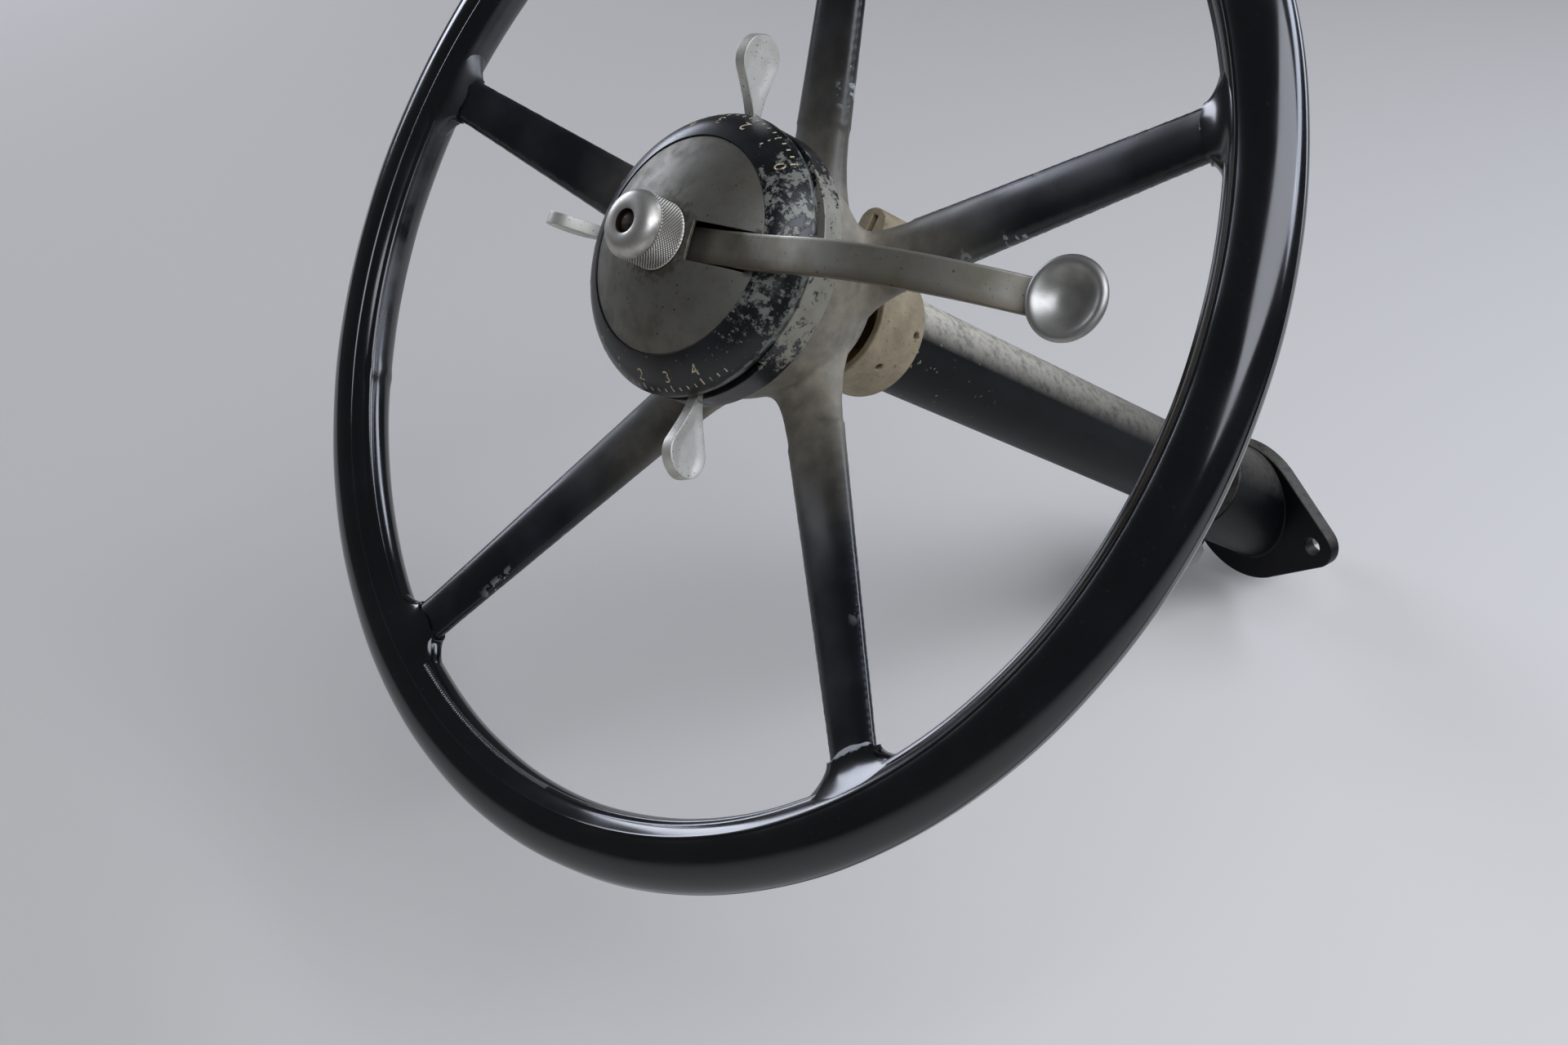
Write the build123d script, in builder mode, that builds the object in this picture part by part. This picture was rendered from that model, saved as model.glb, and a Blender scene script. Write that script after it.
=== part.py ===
from build123d import *
from math import cos, radians, sin
import os

# Steering wheel with hub controls and the upper end of its column, millimetres and degrees.
# The column leans back towards the driver. X is the driver's right, Y forward, Z up.
# The origin is where the column's axis crosses the flange's face. Heights "h" run along the
# column axis from the plane of the rim, positive towards the driver.

# Column axis and where the flange holds it.
RAKE = 35.0
FLANGE_BELOW_RIM = 388.0

# Rim and spokes.
RIM_D = 430.0
RIM_WIDE = 24.0
RIM_DEEP = 20.0
SPOKES = 5
SPOKE_START = 33.7
SPOKE_ROOT_R = 30.0
SPOKE_ROOT_H = -31.0
SPOKE_TIP_H = 1.5
SPOKE_EDGE_R = 2.2
SPOKE_INTO_RIM = 7.0
# Spoke sections: share of the way from root to rim, width, depth.
SPOKE_SECTIONS = (
    (0.00, 34.0, 18.0),
    (0.05, 29.0, 14.0),
    (0.11, 26.0, 11.4),
    (0.20, 24.2, 9.8),
    (0.45, 22.0, 8.4),
    (0.88, 18.4, 6.4),
    (0.92, 20.0, 7.6),
    (0.96, 24.5, 10.0),
    (1.00, 33.0, 14.0),
)

# Boss, steering shaft and the fixed tube inside it.
BOSS_R = 43.0
BOSS_FRONT_H = -2.0
BOSS_BACK_H = -46.0
BOSS_BACK_R = 27.0
BOSS_BEVEL = 2.5
BOSS_SIDE_LONG = 14.0
BOSS_TAPER_LONG = 12.0
BOSS_TAPER = 8.0
SHAFT_R = 11.0
SHAFT_END_H = -442.0
SHAFT_NOSE_R = 10.0
SHAFT_NOSE_LONG = 22.0
KEY_WIDE = 4.0
KEY_LONG = 18.0
KEY_DEEP = 2.5
STATOR_R = 7.0
STATOR_WALL = 1.5
STATOR_END_H = -454.0
STATOR_TOP_H = 9.0
SHAFT_FIT = 0.05
TUBE_GAP = 0.6

# Column jacket, its collar and bushes.
JACKET_R = 19.0
JACKET_WALL = 2.0
JACKET_TOP_H = -70.0
JACKET_END_H = -412.0
COLLAR_R = 25.5
COLLAR_WALL = 3.0
COLLAR_FRONT_H = -54.0
COLLAR_BACK_H = -80.0
COLLAR_FLOOR = 5.0
COLLAR_BEVEL = 1.0
COLLAR_HOLE_R = 1.4
# Screw holes in the collar's wall: angle round the column, height.
COLLAR_HOLES = ((16.0, -75.5), (-21.0, -65.5), (135.0, -75.5))
EAR_ANGLE = 92.0
EAR_OUT = 36.0
EAR_R = 6.5
EAR_SLIT_WIDE = 2.4
EAR_SLIT_LONG = 9.0
EAR_SLIT_AT_R = 35.0
EAR_SLIT_DEEP = 8.0
BUSH_LONG = 9.0
BUSH_LIP = 3.0

# Bulkhead flange: an upright oval plate with a slanted split sleeve round the jacket.
PLATE_THICK = 7.0
PLATE_MIDDLE_R = 36.0
PLATE_HOLE_R = 4.25
PLATE_HOLE_SPACING = 84.0
PLATE_EAR_R = 11.0
BORE_RELIEF = 3.0
BORE_RELIEF_DEEP = 2.0
SLEEVE_WALL = 5.5
SLEEVE_LONG = 60.0
SLEEVE_SLIT_LONG = 30.0
LUG_LONG = 14.0
LUG_THICK = 7.0
LUG_WIDE = 22.0
LUG_GAP = 4.0
CLAMP_BOLT_R = 4.0
BOLT_GAP = 0.3
BOLT_HEX_R = 7.0
BOLT_HEAD_TALL = 4.8
NUT_TALL = 6.4
BOLT_PAST_NUT = 3.0

# Control head: base drum, lever slots and core.
HEAD_R = 50.0
HEAD_WALL = 6.0
HEAD_FLOOR = 2.5
HEAD_BEVEL = 1.5
HEAD_TALL = 14.0
HEAD_SLOT_TALL = 3.2
CORE_IN = 14.0
CORE_WALL = 3.0
CORE_POST_R = 12.0
# Slots in the drum's wall: start angle, end angle.
HEAD_SLOTS = ((24.0, 116.0), (-118.0, -26.0), (150.0, 232.0))

# Bezel and face disc.
BEZEL_TALL = 14.4
BEZEL_SEAT_DEEP = 4.4
BEZEL_LIP = 0.5
BEZEL_LIP_TALL = 3.0
BEZEL_DOME_IN = 3.3
BEZEL_DOME_DOWN = 5.2
DISC_R = 38.5
DISC_GAP = 0.15
DISC_EDGE_DOWN = 0.4
DISC_DOME = 10.8
DISC_SKIN = 1.0
# Share of the disc's radius at which the skin's inner arc is pinned.
DISC_SKIN_MID = 0.66
LEVER_POST_R = 6.0

# Knurled knob.
KNOB_R = 12.0
KNOB_SEAT_DEEP = 1.4
KNOB_SIDE_TALL = 12.0
KNOB_CAP_TALL = 4.8
KNOB_HOLE_R = 4.1
KNOB_HOLE_DEEP = 4.5
KNOB_BEVEL = 0.5
KNOB_GAP = 0.2
KNOB_CAP_ROUND = 1.8
PLUG_GAP = 0.1
PLUG_EDGE_TALL = 1.5
PLUG_TALL = 2.2

# Long lever with a dished end.
LEVER_ANGLE = 15.2
LEVER_WIDE = 12.3
LEVER_TIP_WIDE = 11.6
LEVER_THICK = 2.6
LEVER_SLOT_START_R = 14.2
LEVER_SLOT_WIDE = 13.6
LEVER_OVER_BEZEL = 0.2
# The lever's bow, as radius and rise above its flat root: flat, rising, falling, levelling.
LEVER_FLAT_R = 30.0
LEVER_RISE_AT = (54.0, 2.2)
LEVER_FALL_AT = (138.0, -11.6)
LEVER_LEVEL_AT = (150.0, -15.6)
LEVER_PAD_LONG = 11.5
CUP_SEAT_ALONG = 5.6
CUP_R = 13.3
CUP_FOOT_R = 5.0
CUP_TALL = 7.0
CUP_FLOOR = 1.8
CUP_LIP = 3.4
# Bowl's bulge at half height, as shares of its radius and height: outside, inside.
CUP_OUTER_BULGE = (0.80, 0.33)
CUP_INNER_BULGE = (0.54, 0.42)

# Hand levers, lowest ring first: name, angle round the column, angle of lean to the driver.
HAND_LEVER_ANGLES = (
    ("spark_lever", 191.3, 16.0),
    ("choke_lever", -60.5, 9.0),
    ("throttle_lever", 103.0, 17.5),
)
RING_WIDE = 5.0
RING_THICK = 2.8
RING_FLOOR_GAP = 0.5
RING_GAP = 0.4
RING_FIT = 0.08
CRANK_WIDE = 7.0
CRANK_GAP = 0.5
RISER_DEEP = 2.1
NECK_TALL = 2.6
HAND_THICK = 4.4
SPOON_GAP = 0.6
SPOON_LONG = 28.5
SPOON_R = 8.6
SPOON_NECK = 3.8
# Where the spoon's flare meets its round end, and the flare's own bulge halfway along.
SPOON_FLARE_ANGLE = 112.0
SPOON_FLARE_BULGE = 1.1

# Worked-out places.
axis_dir = Vector(0, -cos(radians(RAKE)), sin(radians(RAKE)))
hub = axis_dir * FLANGE_BELOW_RIM
wheel_plane = Plane(origin=hub, x_dir=(1, 0, 0), z_dir=axis_dir)
turning_plane = Plane(origin=hub, x_dir=(1, 0, 0), z_dir=wheel_plane.y_dir * -1)
column_axis = Axis(hub, axis_dir)
RIM_R = (RIM_D - RIM_WIDE) / 2
SPOKE_TIP_R = RIM_R - RIM_WIDE / 2 + SPOKE_INTO_RIM
CORE_R = HEAD_R - CORE_IN
CRANK_END_R = HEAD_R - HEAD_WALL - CRANK_GAP
SPOON_START_R = HEAD_R + SPOON_GAP

slot_low_h = HEAD_TALL - HEAD_SLOT_TALL
neck_h = HEAD_TALL - HEAD_SLOT_TALL / 2
bezel_front_h = HEAD_TALL + BEZEL_TALL
bezel_seat_h = bezel_front_h - BEZEL_SEAT_DEEP
disc_edge_h = bezel_front_h - DISC_EDGE_DOWN
disc_crown_h = disc_edge_h + DISC_DOME
disc_mid_h = disc_edge_h + DISC_DOME * (1 - DISC_SKIN_MID**2)
knob_seat_h = disc_crown_h - KNOB_SEAT_DEEP
knob_shoulder_h = knob_seat_h + KNOB_SIDE_TALL
knob_top_h = knob_shoulder_h + KNOB_CAP_TALL
knob_floor_h = knob_top_h - KNOB_HOLE_DEEP
lever_floor_h = bezel_front_h + LEVER_OVER_BEZEL
lever_h = lever_floor_h + LEVER_THICK

os.makedirs("parts", exist_ok=True)


def outward(angle):
    """Unit direction away from the column axis at an angle round it."""
    turn = radians(angle)
    return wheel_plane.x_dir * cos(turn) + wheel_plane.y_dir * sin(turn)


def place(radius, angle, height):
    """Point at a radius, angle and height about the column axis."""
    return hub + outward(angle) * radius + axis_dir * height


def side_plane(angle):
    """Plane through the axis: its x runs outward at the angle, its y towards the driver."""
    return Plane(origin=hub, x_dir=outward(angle), z_dir=outward(angle - 90))


def flat_plane(angle, height):
    """Plane across the axis, with its x outward at the angle."""
    return Plane(origin=place(0, angle, height), x_dir=outward(angle), z_dir=axis_dir)


def turned(points, mode=Mode.ADD):
    """Turns an outline of (radius, height) points about the column axis."""
    with BuildSketch(turning_plane) as outline:
        with BuildLine():
            Polyline(*points, close=True)
        make_face()
    revolve(outline.sketch, axis=column_axis, mode=mode)


def tube(outer, inner, low, high):
    """Turns a plain tube about the column axis."""
    turned(((inner, low), (outer, low), (outer, high), (inner, high)))


def rim_ring(mode=Mode.ADD):
    """The rim's rounded section turned about the column axis."""
    with BuildSketch(turning_plane) as section:
        with Locations((RIM_R, 0)):
            Ellipse(RIM_WIDE / 2, RIM_DEEP / 2)
    revolve(section.sketch, axis=column_axis, mode=mode)


def spoke_section(angle, share, width, depth):
    """One flat, round-edged section of a spoke, square to the way the spoke runs."""
    radius = SPOKE_ROOT_R + share * (SPOKE_TIP_R - SPOKE_ROOT_R)
    height = SPOKE_ROOT_H + share * (SPOKE_TIP_H - SPOKE_ROOT_H)
    run = outward(angle) * (SPOKE_TIP_R - SPOKE_ROOT_R) + axis_dir * (SPOKE_TIP_H - SPOKE_ROOT_H)
    across = Plane(origin=place(radius, angle, height), x_dir=outward(angle + 90), z_dir=run)
    with BuildSketch(across) as section:
        RectangleRounded(width, depth, SPOKE_EDGE_R)
    return section.sketch.face()


def lever_slot():
    """Cuts the radial slot that the long lever lies in."""
    with BuildSketch(flat_plane(LEVER_ANGLE, lever_floor_h)) as slot:
        with Locations((LEVER_SLOT_START_R + HEAD_R / 2, 0)):
            Rectangle(HEAD_R, LEVER_SLOT_WIDE)
    extrude(slot.sketch, amount=DISC_DOME, mode=Mode.SUBTRACT)


# Rim.
with BuildPart() as rim:
    rim_ring()

# Spider: boss and dished spokes in one casting, cut where the rim is moulded over it.
with BuildPart() as spider:
    turned(
        (
            (0, BOSS_FRONT_H),
            (BOSS_R - BOSS_BEVEL, BOSS_FRONT_H),
            (BOSS_R, BOSS_FRONT_H - BOSS_BEVEL),
            (BOSS_R, BOSS_FRONT_H - BOSS_SIDE_LONG),
            (BOSS_R - BOSS_TAPER, BOSS_BACK_H + BOSS_TAPER_LONG),
            (BOSS_BACK_R, BOSS_BACK_H),
            (0, BOSS_BACK_H),
        )
    )
    for number in range(SPOKES):
        spoke_angle = SPOKE_START + number * 360 / SPOKES
        loft([spoke_section(spoke_angle, *row) for row in SPOKE_SECTIONS], ruled=True)
    rim_ring(mode=Mode.SUBTRACT)
    with BuildSketch(wheel_plane.offset(BOSS_BACK_H)):
        Circle(SHAFT_R + SHAFT_FIT / 2)
    extrude(amount=BOSS_FRONT_H - BOSS_BACK_H, mode=Mode.SUBTRACT)

# Steering shaft: a tube, turned down and keyed at its lower end.
with BuildPart() as steering_shaft:
    turned(
        (
            (STATOR_R + TUBE_GAP, SHAFT_END_H),
            (SHAFT_NOSE_R, SHAFT_END_H),
            (SHAFT_NOSE_R, SHAFT_END_H + SHAFT_NOSE_LONG),
            (SHAFT_R, SHAFT_END_H + SHAFT_NOSE_LONG),
            (SHAFT_R, BOSS_FRONT_H),
            (STATOR_R + TUBE_GAP, BOSS_FRONT_H),
        )
    )
    with BuildSketch(wheel_plane.offset(SHAFT_END_H)):
        with Locations((0, SHAFT_NOSE_R)):
            Rectangle(KEY_WIDE, KEY_DEEP)
    extrude(amount=KEY_LONG, mode=Mode.SUBTRACT)

# Fixed tube inside the shaft that carries the control head.
with BuildPart() as stator_tube:
    tube(STATOR_R, STATOR_R - STATOR_WALL, STATOR_END_H, STATOR_TOP_H)

# Column jacket.
with BuildPart() as column_jacket:
    tube(JACKET_R, JACKET_R - JACKET_WALL, JACKET_END_H, JACKET_TOP_H)

# Collar: a cup open towards the wheel, with screw holes and an ear for the wires.
with BuildPart() as column_collar:
    turned(
        (
            (JACKET_R + SHAFT_FIT, COLLAR_BACK_H),
            (COLLAR_R - COLLAR_BEVEL, COLLAR_BACK_H),
            (COLLAR_R, COLLAR_BACK_H + COLLAR_BEVEL),
            (COLLAR_R, COLLAR_FRONT_H),
            (COLLAR_R - COLLAR_WALL, COLLAR_FRONT_H),
            (COLLAR_R - COLLAR_WALL, COLLAR_BACK_H + COLLAR_FLOOR),
            (JACKET_R + SHAFT_FIT, COLLAR_BACK_H + COLLAR_FLOOR),
        )
    )
    with BuildSketch(flat_plane(EAR_ANGLE, COLLAR_BACK_H)):
        with Locations((EAR_OUT, 0)):
            Circle(EAR_R)
        with Locations(((EAR_OUT + COLLAR_R - COLLAR_WALL / 2) / 2, 0)):
            Rectangle(EAR_OUT - COLLAR_R + COLLAR_WALL / 2, EAR_R * 2)
    extrude(amount=COLLAR_FRONT_H - COLLAR_BACK_H)
    with BuildSketch(flat_plane(EAR_ANGLE, COLLAR_FRONT_H)):
        with Locations((EAR_SLIT_AT_R, 0)):
            Rectangle(EAR_SLIT_LONG, EAR_SLIT_WIDE)
    extrude(amount=-EAR_SLIT_DEEP, mode=Mode.SUBTRACT)
    for hole_angle, hole_height in COLLAR_HOLES:
        side = Plane(
            origin=place(COLLAR_R, hole_angle, hole_height),
            x_dir=axis_dir,
            z_dir=outward(hole_angle),
        )
        with BuildSketch(side):
            Circle(COLLAR_HOLE_R)
        extrude(amount=-COLLAR_WALL * 1.5, mode=Mode.SUBTRACT)

# Bronze bushes that the shaft turns in, at the top and the bottom of the jacket.
with BuildPart() as upper_bush:
    turned(
        (
            (SHAFT_R + SHAFT_FIT, JACKET_TOP_H - BUSH_LONG),
            (JACKET_R - JACKET_WALL, JACKET_TOP_H - BUSH_LONG),
            (JACKET_R - JACKET_WALL, JACKET_TOP_H),
            (JACKET_R, JACKET_TOP_H),
            (JACKET_R, JACKET_TOP_H + BUSH_LIP),
            (SHAFT_R + SHAFT_FIT, JACKET_TOP_H + BUSH_LIP),
        )
    )

with BuildPart() as lower_bush:
    turned(
        (
            (SHAFT_R + SHAFT_FIT, JACKET_END_H + BUSH_LONG),
            (JACKET_R - JACKET_WALL, JACKET_END_H + BUSH_LONG),
            (JACKET_R - JACKET_WALL, JACKET_END_H),
            (JACKET_R, JACKET_END_H),
            (JACKET_R, JACKET_END_H - BUSH_LIP),
            (SHAFT_R + SHAFT_FIT, JACKET_END_H - BUSH_LIP),
        )
    )

# Bulkhead flange: an upright plate whose slanted sleeve is split and pinched round the jacket.
sleeve_r = JACKET_R + SLEEVE_WALL
sleeve_top_h = SLEEVE_LONG - FLANGE_BELOW_RIM
lug_mid_h = sleeve_top_h - LUG_WIDE / 2
lug_out = sleeve_r + LUG_LONG
bolt_plane = Plane(
    origin=place(sleeve_r + LUG_LONG / 2, -90, lug_mid_h), x_dir=outward(-90), z_dir=(1, 0, 0)
)
with BuildPart() as bulkhead_flange:
    with BuildSketch(wheel_plane.offset(sleeve_top_h)):
        Circle(sleeve_r)
    extrude(amount=-SLEEVE_LONG - PLATE_MIDDLE_R)
    with BuildSketch(wheel_plane.offset(sleeve_top_h)):
        with Locations((0, -lug_out / 2)):
            Rectangle(LUG_THICK * 2 + LUG_GAP, lug_out)
    extrude(amount=-LUG_WIDE)
    with BuildSketch(Plane.XZ):
        Rectangle(PLATE_HOLE_SPACING * 2, FLANGE_BELOW_RIM)
    extrude(amount=-FLANGE_BELOW_RIM, mode=Mode.SUBTRACT)
    with BuildSketch(Plane.XZ) as plate_outline:
        Circle(PLATE_MIDDLE_R)
        with GridLocations(PLATE_HOLE_SPACING, 0, 2, 1):
            Circle(PLATE_EAR_R)
        make_hull()
    extrude(amount=PLATE_THICK)
    with BuildSketch(wheel_plane.offset(sleeve_top_h)):
        Circle(JACKET_R + SHAFT_FIT)
    extrude(amount=-SLEEVE_LONG - PLATE_MIDDLE_R, mode=Mode.SUBTRACT)
    with BuildSketch(wheel_plane.offset(sleeve_top_h)):
        with Locations((0, -lug_out)):
            Rectangle(LUG_GAP, lug_out * 2)
    extrude(amount=-SLEEVE_SLIT_LONG, mode=Mode.SUBTRACT)
    with BuildSketch(Plane.XZ):
        Ellipse(JACKET_R + BORE_RELIEF, (JACKET_R + BORE_RELIEF) / cos(radians(RAKE)))
    extrude(amount=BORE_RELIEF_DEEP, mode=Mode.SUBTRACT)
    with BuildSketch(Plane.XZ):
        with GridLocations(PLATE_HOLE_SPACING, 0, 2, 1):
            Circle(PLATE_HOLE_R)
    extrude(amount=PLATE_THICK, mode=Mode.SUBTRACT)
    with BuildSketch(bolt_plane):
        Circle(CLAMP_BOLT_R + BOLT_GAP)
    extrude(amount=lug_out, both=True, mode=Mode.SUBTRACT)

# Pinch bolt through the clamp's two lugs, and its nut.
grip = LUG_THICK + LUG_GAP / 2
with BuildPart() as clamp_bolt:
    with BuildSketch(bolt_plane.offset(grip)):
        RegularPolygon(BOLT_HEX_R, 6)
    extrude(amount=BOLT_HEAD_TALL)
    with BuildSketch(bolt_plane.offset(-grip - NUT_TALL - BOLT_PAST_NUT)):
        Circle(CLAMP_BOLT_R)
    extrude(amount=2 * grip + NUT_TALL + BOLT_PAST_NUT)

with BuildPart() as clamp_nut:
    with BuildSketch(bolt_plane.offset(-grip)):
        RegularPolygon(BOLT_HEX_R, 6)
        Circle(CLAMP_BOLT_R, mode=Mode.SUBTRACT)
    extrude(amount=-NUT_TALL)

# Base drum of the control head: a shallow cup with slots for the hand levers.
with BuildPart() as head_base:
    turned(
        (
            (STATOR_R + SHAFT_FIT, 0),
            (HEAD_R - HEAD_BEVEL, 0),
            (HEAD_R, HEAD_BEVEL),
            (HEAD_R, HEAD_TALL),
            (HEAD_R - HEAD_WALL, HEAD_TALL),
            (HEAD_R - HEAD_WALL, HEAD_FLOOR),
            (CORE_R, HEAD_FLOOR),
            (CORE_R, HEAD_TALL),
            (CORE_R - CORE_WALL, HEAD_TALL),
            (CORE_R - CORE_WALL, HEAD_FLOOR),
            (CORE_POST_R, HEAD_FLOOR),
            (CORE_POST_R, HEAD_TALL),
            (STATOR_R + SHAFT_FIT, HEAD_TALL),
        )
    )
    for slot_start, slot_end in HEAD_SLOTS:
        turn = radians(slot_end - slot_start)
        far = HEAD_R * 3
        with BuildSketch(flat_plane(slot_start, slot_low_h)):
            with BuildLine():
                Polyline(
                    (0, 0),
                    (far, 0),
                    (far * cos(turn / 2), far * sin(turn / 2)),
                    (far * cos(turn), far * sin(turn)),
                    close=True,
                )
            make_face()
            Circle(HEAD_R - HEAD_WALL - HEAD_BEVEL, mode=Mode.SUBTRACT)
        extrude(amount=HEAD_SLOT_TALL, mode=Mode.SUBTRACT)

# Domed bezel over the drum, with a seat for the face disc and a post for the long lever.
with BuildPart() as head_bezel:
    with BuildSketch(turning_plane) as bezel_outline:
        with BuildLine():
            Polyline(
                (DISC_R + DISC_GAP, bezel_front_h),
                (DISC_R + DISC_GAP, bezel_seat_h),
                (LEVER_POST_R, bezel_seat_h),
                (LEVER_POST_R, lever_floor_h),
                (0, lever_floor_h),
                (0, HEAD_TALL),
                (HEAD_R - BEZEL_LIP, HEAD_TALL),
                (HEAD_R + BEZEL_LIP, HEAD_TALL + BEZEL_LIP_TALL),
            )
            ThreePointArc(
                (HEAD_R + BEZEL_LIP, HEAD_TALL + BEZEL_LIP_TALL),
                (HEAD_R - BEZEL_DOME_IN, bezel_front_h - BEZEL_DOME_DOWN),
                (DISC_R + DISC_GAP, bezel_front_h),
            )
        make_face()
    revolve(axis=column_axis)

# Face disc: a domed sheet with a turned-down edge, a seat for the knob and the lever's slot.
with BuildPart() as face_disc:
    with BuildSketch(turning_plane) as disc_outline:
        with BuildLine():
            Line((DISC_R - DISC_SKIN, bezel_seat_h), (DISC_R, bezel_seat_h))
            Line((DISC_R, bezel_seat_h), (DISC_R, disc_edge_h))
            ThreePointArc(
                (DISC_R, disc_edge_h),
                (DISC_R / 2, disc_crown_h - DISC_DOME / 4),
                (0, disc_crown_h),
            )
            Line((0, disc_crown_h), (0, knob_seat_h - DISC_SKIN))
            Line((0, knob_seat_h - DISC_SKIN), (KNOB_R, knob_seat_h - DISC_SKIN))
            ThreePointArc(
                (KNOB_R, knob_seat_h - DISC_SKIN),
                (DISC_R * DISC_SKIN_MID, disc_mid_h - DISC_SKIN),
                (DISC_R - DISC_SKIN, disc_edge_h - DISC_SKIN),
            )
            Line((DISC_R - DISC_SKIN, disc_edge_h - DISC_SKIN), (DISC_R - DISC_SKIN, bezel_seat_h))
        make_face()
    revolve(axis=column_axis)
    with BuildSketch(wheel_plane.offset(knob_seat_h)):
        Circle(KNOB_R + KNOB_GAP)
    extrude(amount=KNOB_SEAT_DEEP, mode=Mode.SUBTRACT)
    lever_slot()

# Knob with a domed cap and a centre recess.
with BuildPart() as knob:
    with BuildSketch(turning_plane) as knob_outline:
        with BuildLine():
            Polyline(
                (KNOB_HOLE_R, knob_top_h),
                (KNOB_HOLE_R, knob_floor_h),
                (0, knob_floor_h),
                (0, knob_seat_h),
                (KNOB_R - KNOB_BEVEL, knob_seat_h),
                (KNOB_R, knob_seat_h + KNOB_BEVEL),
                (KNOB_R, knob_shoulder_h),
            )
            ThreePointArc(
                (KNOB_R, knob_shoulder_h),
                (KNOB_R - KNOB_CAP_ROUND, knob_top_h - KNOB_CAP_ROUND),
                (KNOB_HOLE_R, knob_top_h),
            )
        make_face()
    revolve(axis=column_axis)

with BuildPart() as knob_plug:
    turned(
        (
            (0, knob_floor_h),
            (KNOB_HOLE_R - PLUG_GAP, knob_floor_h),
            (KNOB_HOLE_R - PLUG_GAP, knob_floor_h + PLUG_EDGE_TALL),
            (0, knob_floor_h + PLUG_TALL),
        )
    )

# Long lever: a flat strip from its post, out through the disc's slot, over a bow and down.
with BuildLine() as lever_line:
    root = Line((-LEVER_WIDE / 2, lever_h), (LEVER_FLAT_R, lever_h))
    rise = TangentArc(root @ 1, (LEVER_RISE_AT[0], lever_h + LEVER_RISE_AT[1]), tangent=root % 1)
    fall = TangentArc(rise @ 1, (LEVER_FALL_AT[0], lever_h + LEVER_FALL_AT[1]), tangent=rise % 1)
    level = TangentArc(fall @ 1, (LEVER_LEVEL_AT[0], lever_h + LEVER_LEVEL_AT[1]), tangent=fall % 1)
    pad = Line(level @ 1, level @ 1 + (level % 1) * LEVER_PAD_LONG)
lever_end_r = (pad @ 1).X
lever_round_r = lever_end_r - LEVER_TIP_WIDE / 2
below = Location((0, -LEVER_THICK))
with BuildPart() as long_lever:
    with BuildSketch(side_plane(LEVER_ANGLE)):
        with BuildLine():
            add(lever_line.line)
            add(lever_line.line.moved(below))
            Line(root @ 0, root @ 0 - Vector(0, LEVER_THICK))
            Line(pad @ 1, pad @ 1 - Vector(0, LEVER_THICK))
        make_face()
    extrude(amount=LEVER_WIDE, both=True)
    with BuildSketch(flat_plane(LEVER_ANGLE, 0)):
        with BuildLine():
            Polyline(
                (lever_round_r, -LEVER_TIP_WIDE / 2),
                (LEVER_FLAT_R, -LEVER_WIDE / 2),
                (0, -LEVER_WIDE / 2),
            )
            ThreePointArc((0, -LEVER_WIDE / 2), (-LEVER_WIDE / 2, 0), (0, LEVER_WIDE / 2))
            Polyline(
                (0, LEVER_WIDE / 2),
                (LEVER_FLAT_R, LEVER_WIDE / 2),
                (lever_round_r, LEVER_TIP_WIDE / 2),
            )
            ThreePointArc(
                (lever_round_r, LEVER_TIP_WIDE / 2),
                (lever_end_r, 0),
                (lever_round_r, -LEVER_TIP_WIDE / 2),
            )
        make_face()
    extrude(amount=lever_h * 2, mode=Mode.INTERSECT)

# Dished round end, seated square on the lever's pad.
pad_dir = level % 1
seat = level @ 1 + pad_dir * CUP_SEAT_ALONG
cup_dir = axis_dir * pad_dir.X - outward(LEVER_ANGLE) * pad_dir.Y
cup_side = outward(LEVER_ANGLE + 90)
cup_seat = place(seat.X, LEVER_ANGLE, seat.Y)
with BuildPart() as lever_cup:
    with BuildSketch(Plane(origin=cup_seat, x_dir=cup_side, z_dir=cup_side.cross(cup_dir))):
        with BuildLine():
            Line((0, CUP_FLOOR), (0, 0))
            Line((0, 0), (CUP_FOOT_R, 0))
            ThreePointArc(
                (CUP_FOOT_R, 0),
                (CUP_R * CUP_OUTER_BULGE[0], CUP_TALL * CUP_OUTER_BULGE[1]),
                (CUP_R, CUP_TALL - CUP_LIP / 2),
            )
            ThreePointArc(
                (CUP_R, CUP_TALL - CUP_LIP / 2),
                (CUP_R - CUP_LIP / 2, CUP_TALL),
                (CUP_R - CUP_LIP, CUP_TALL - CUP_LIP / 2),
            )
            ThreePointArc(
                (CUP_R - CUP_LIP, CUP_TALL - CUP_LIP / 2),
                (CUP_R * CUP_INNER_BULGE[0], CUP_TALL * CUP_INNER_BULGE[1]),
                (CUP_FOOT_R / 2, CUP_FLOOR),
            )
            Line((CUP_FOOT_R / 2, CUP_FLOOR), (0, CUP_FLOOR))
        make_face()
    revolve(axis=Axis(cup_seat, cup_dir))


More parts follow.
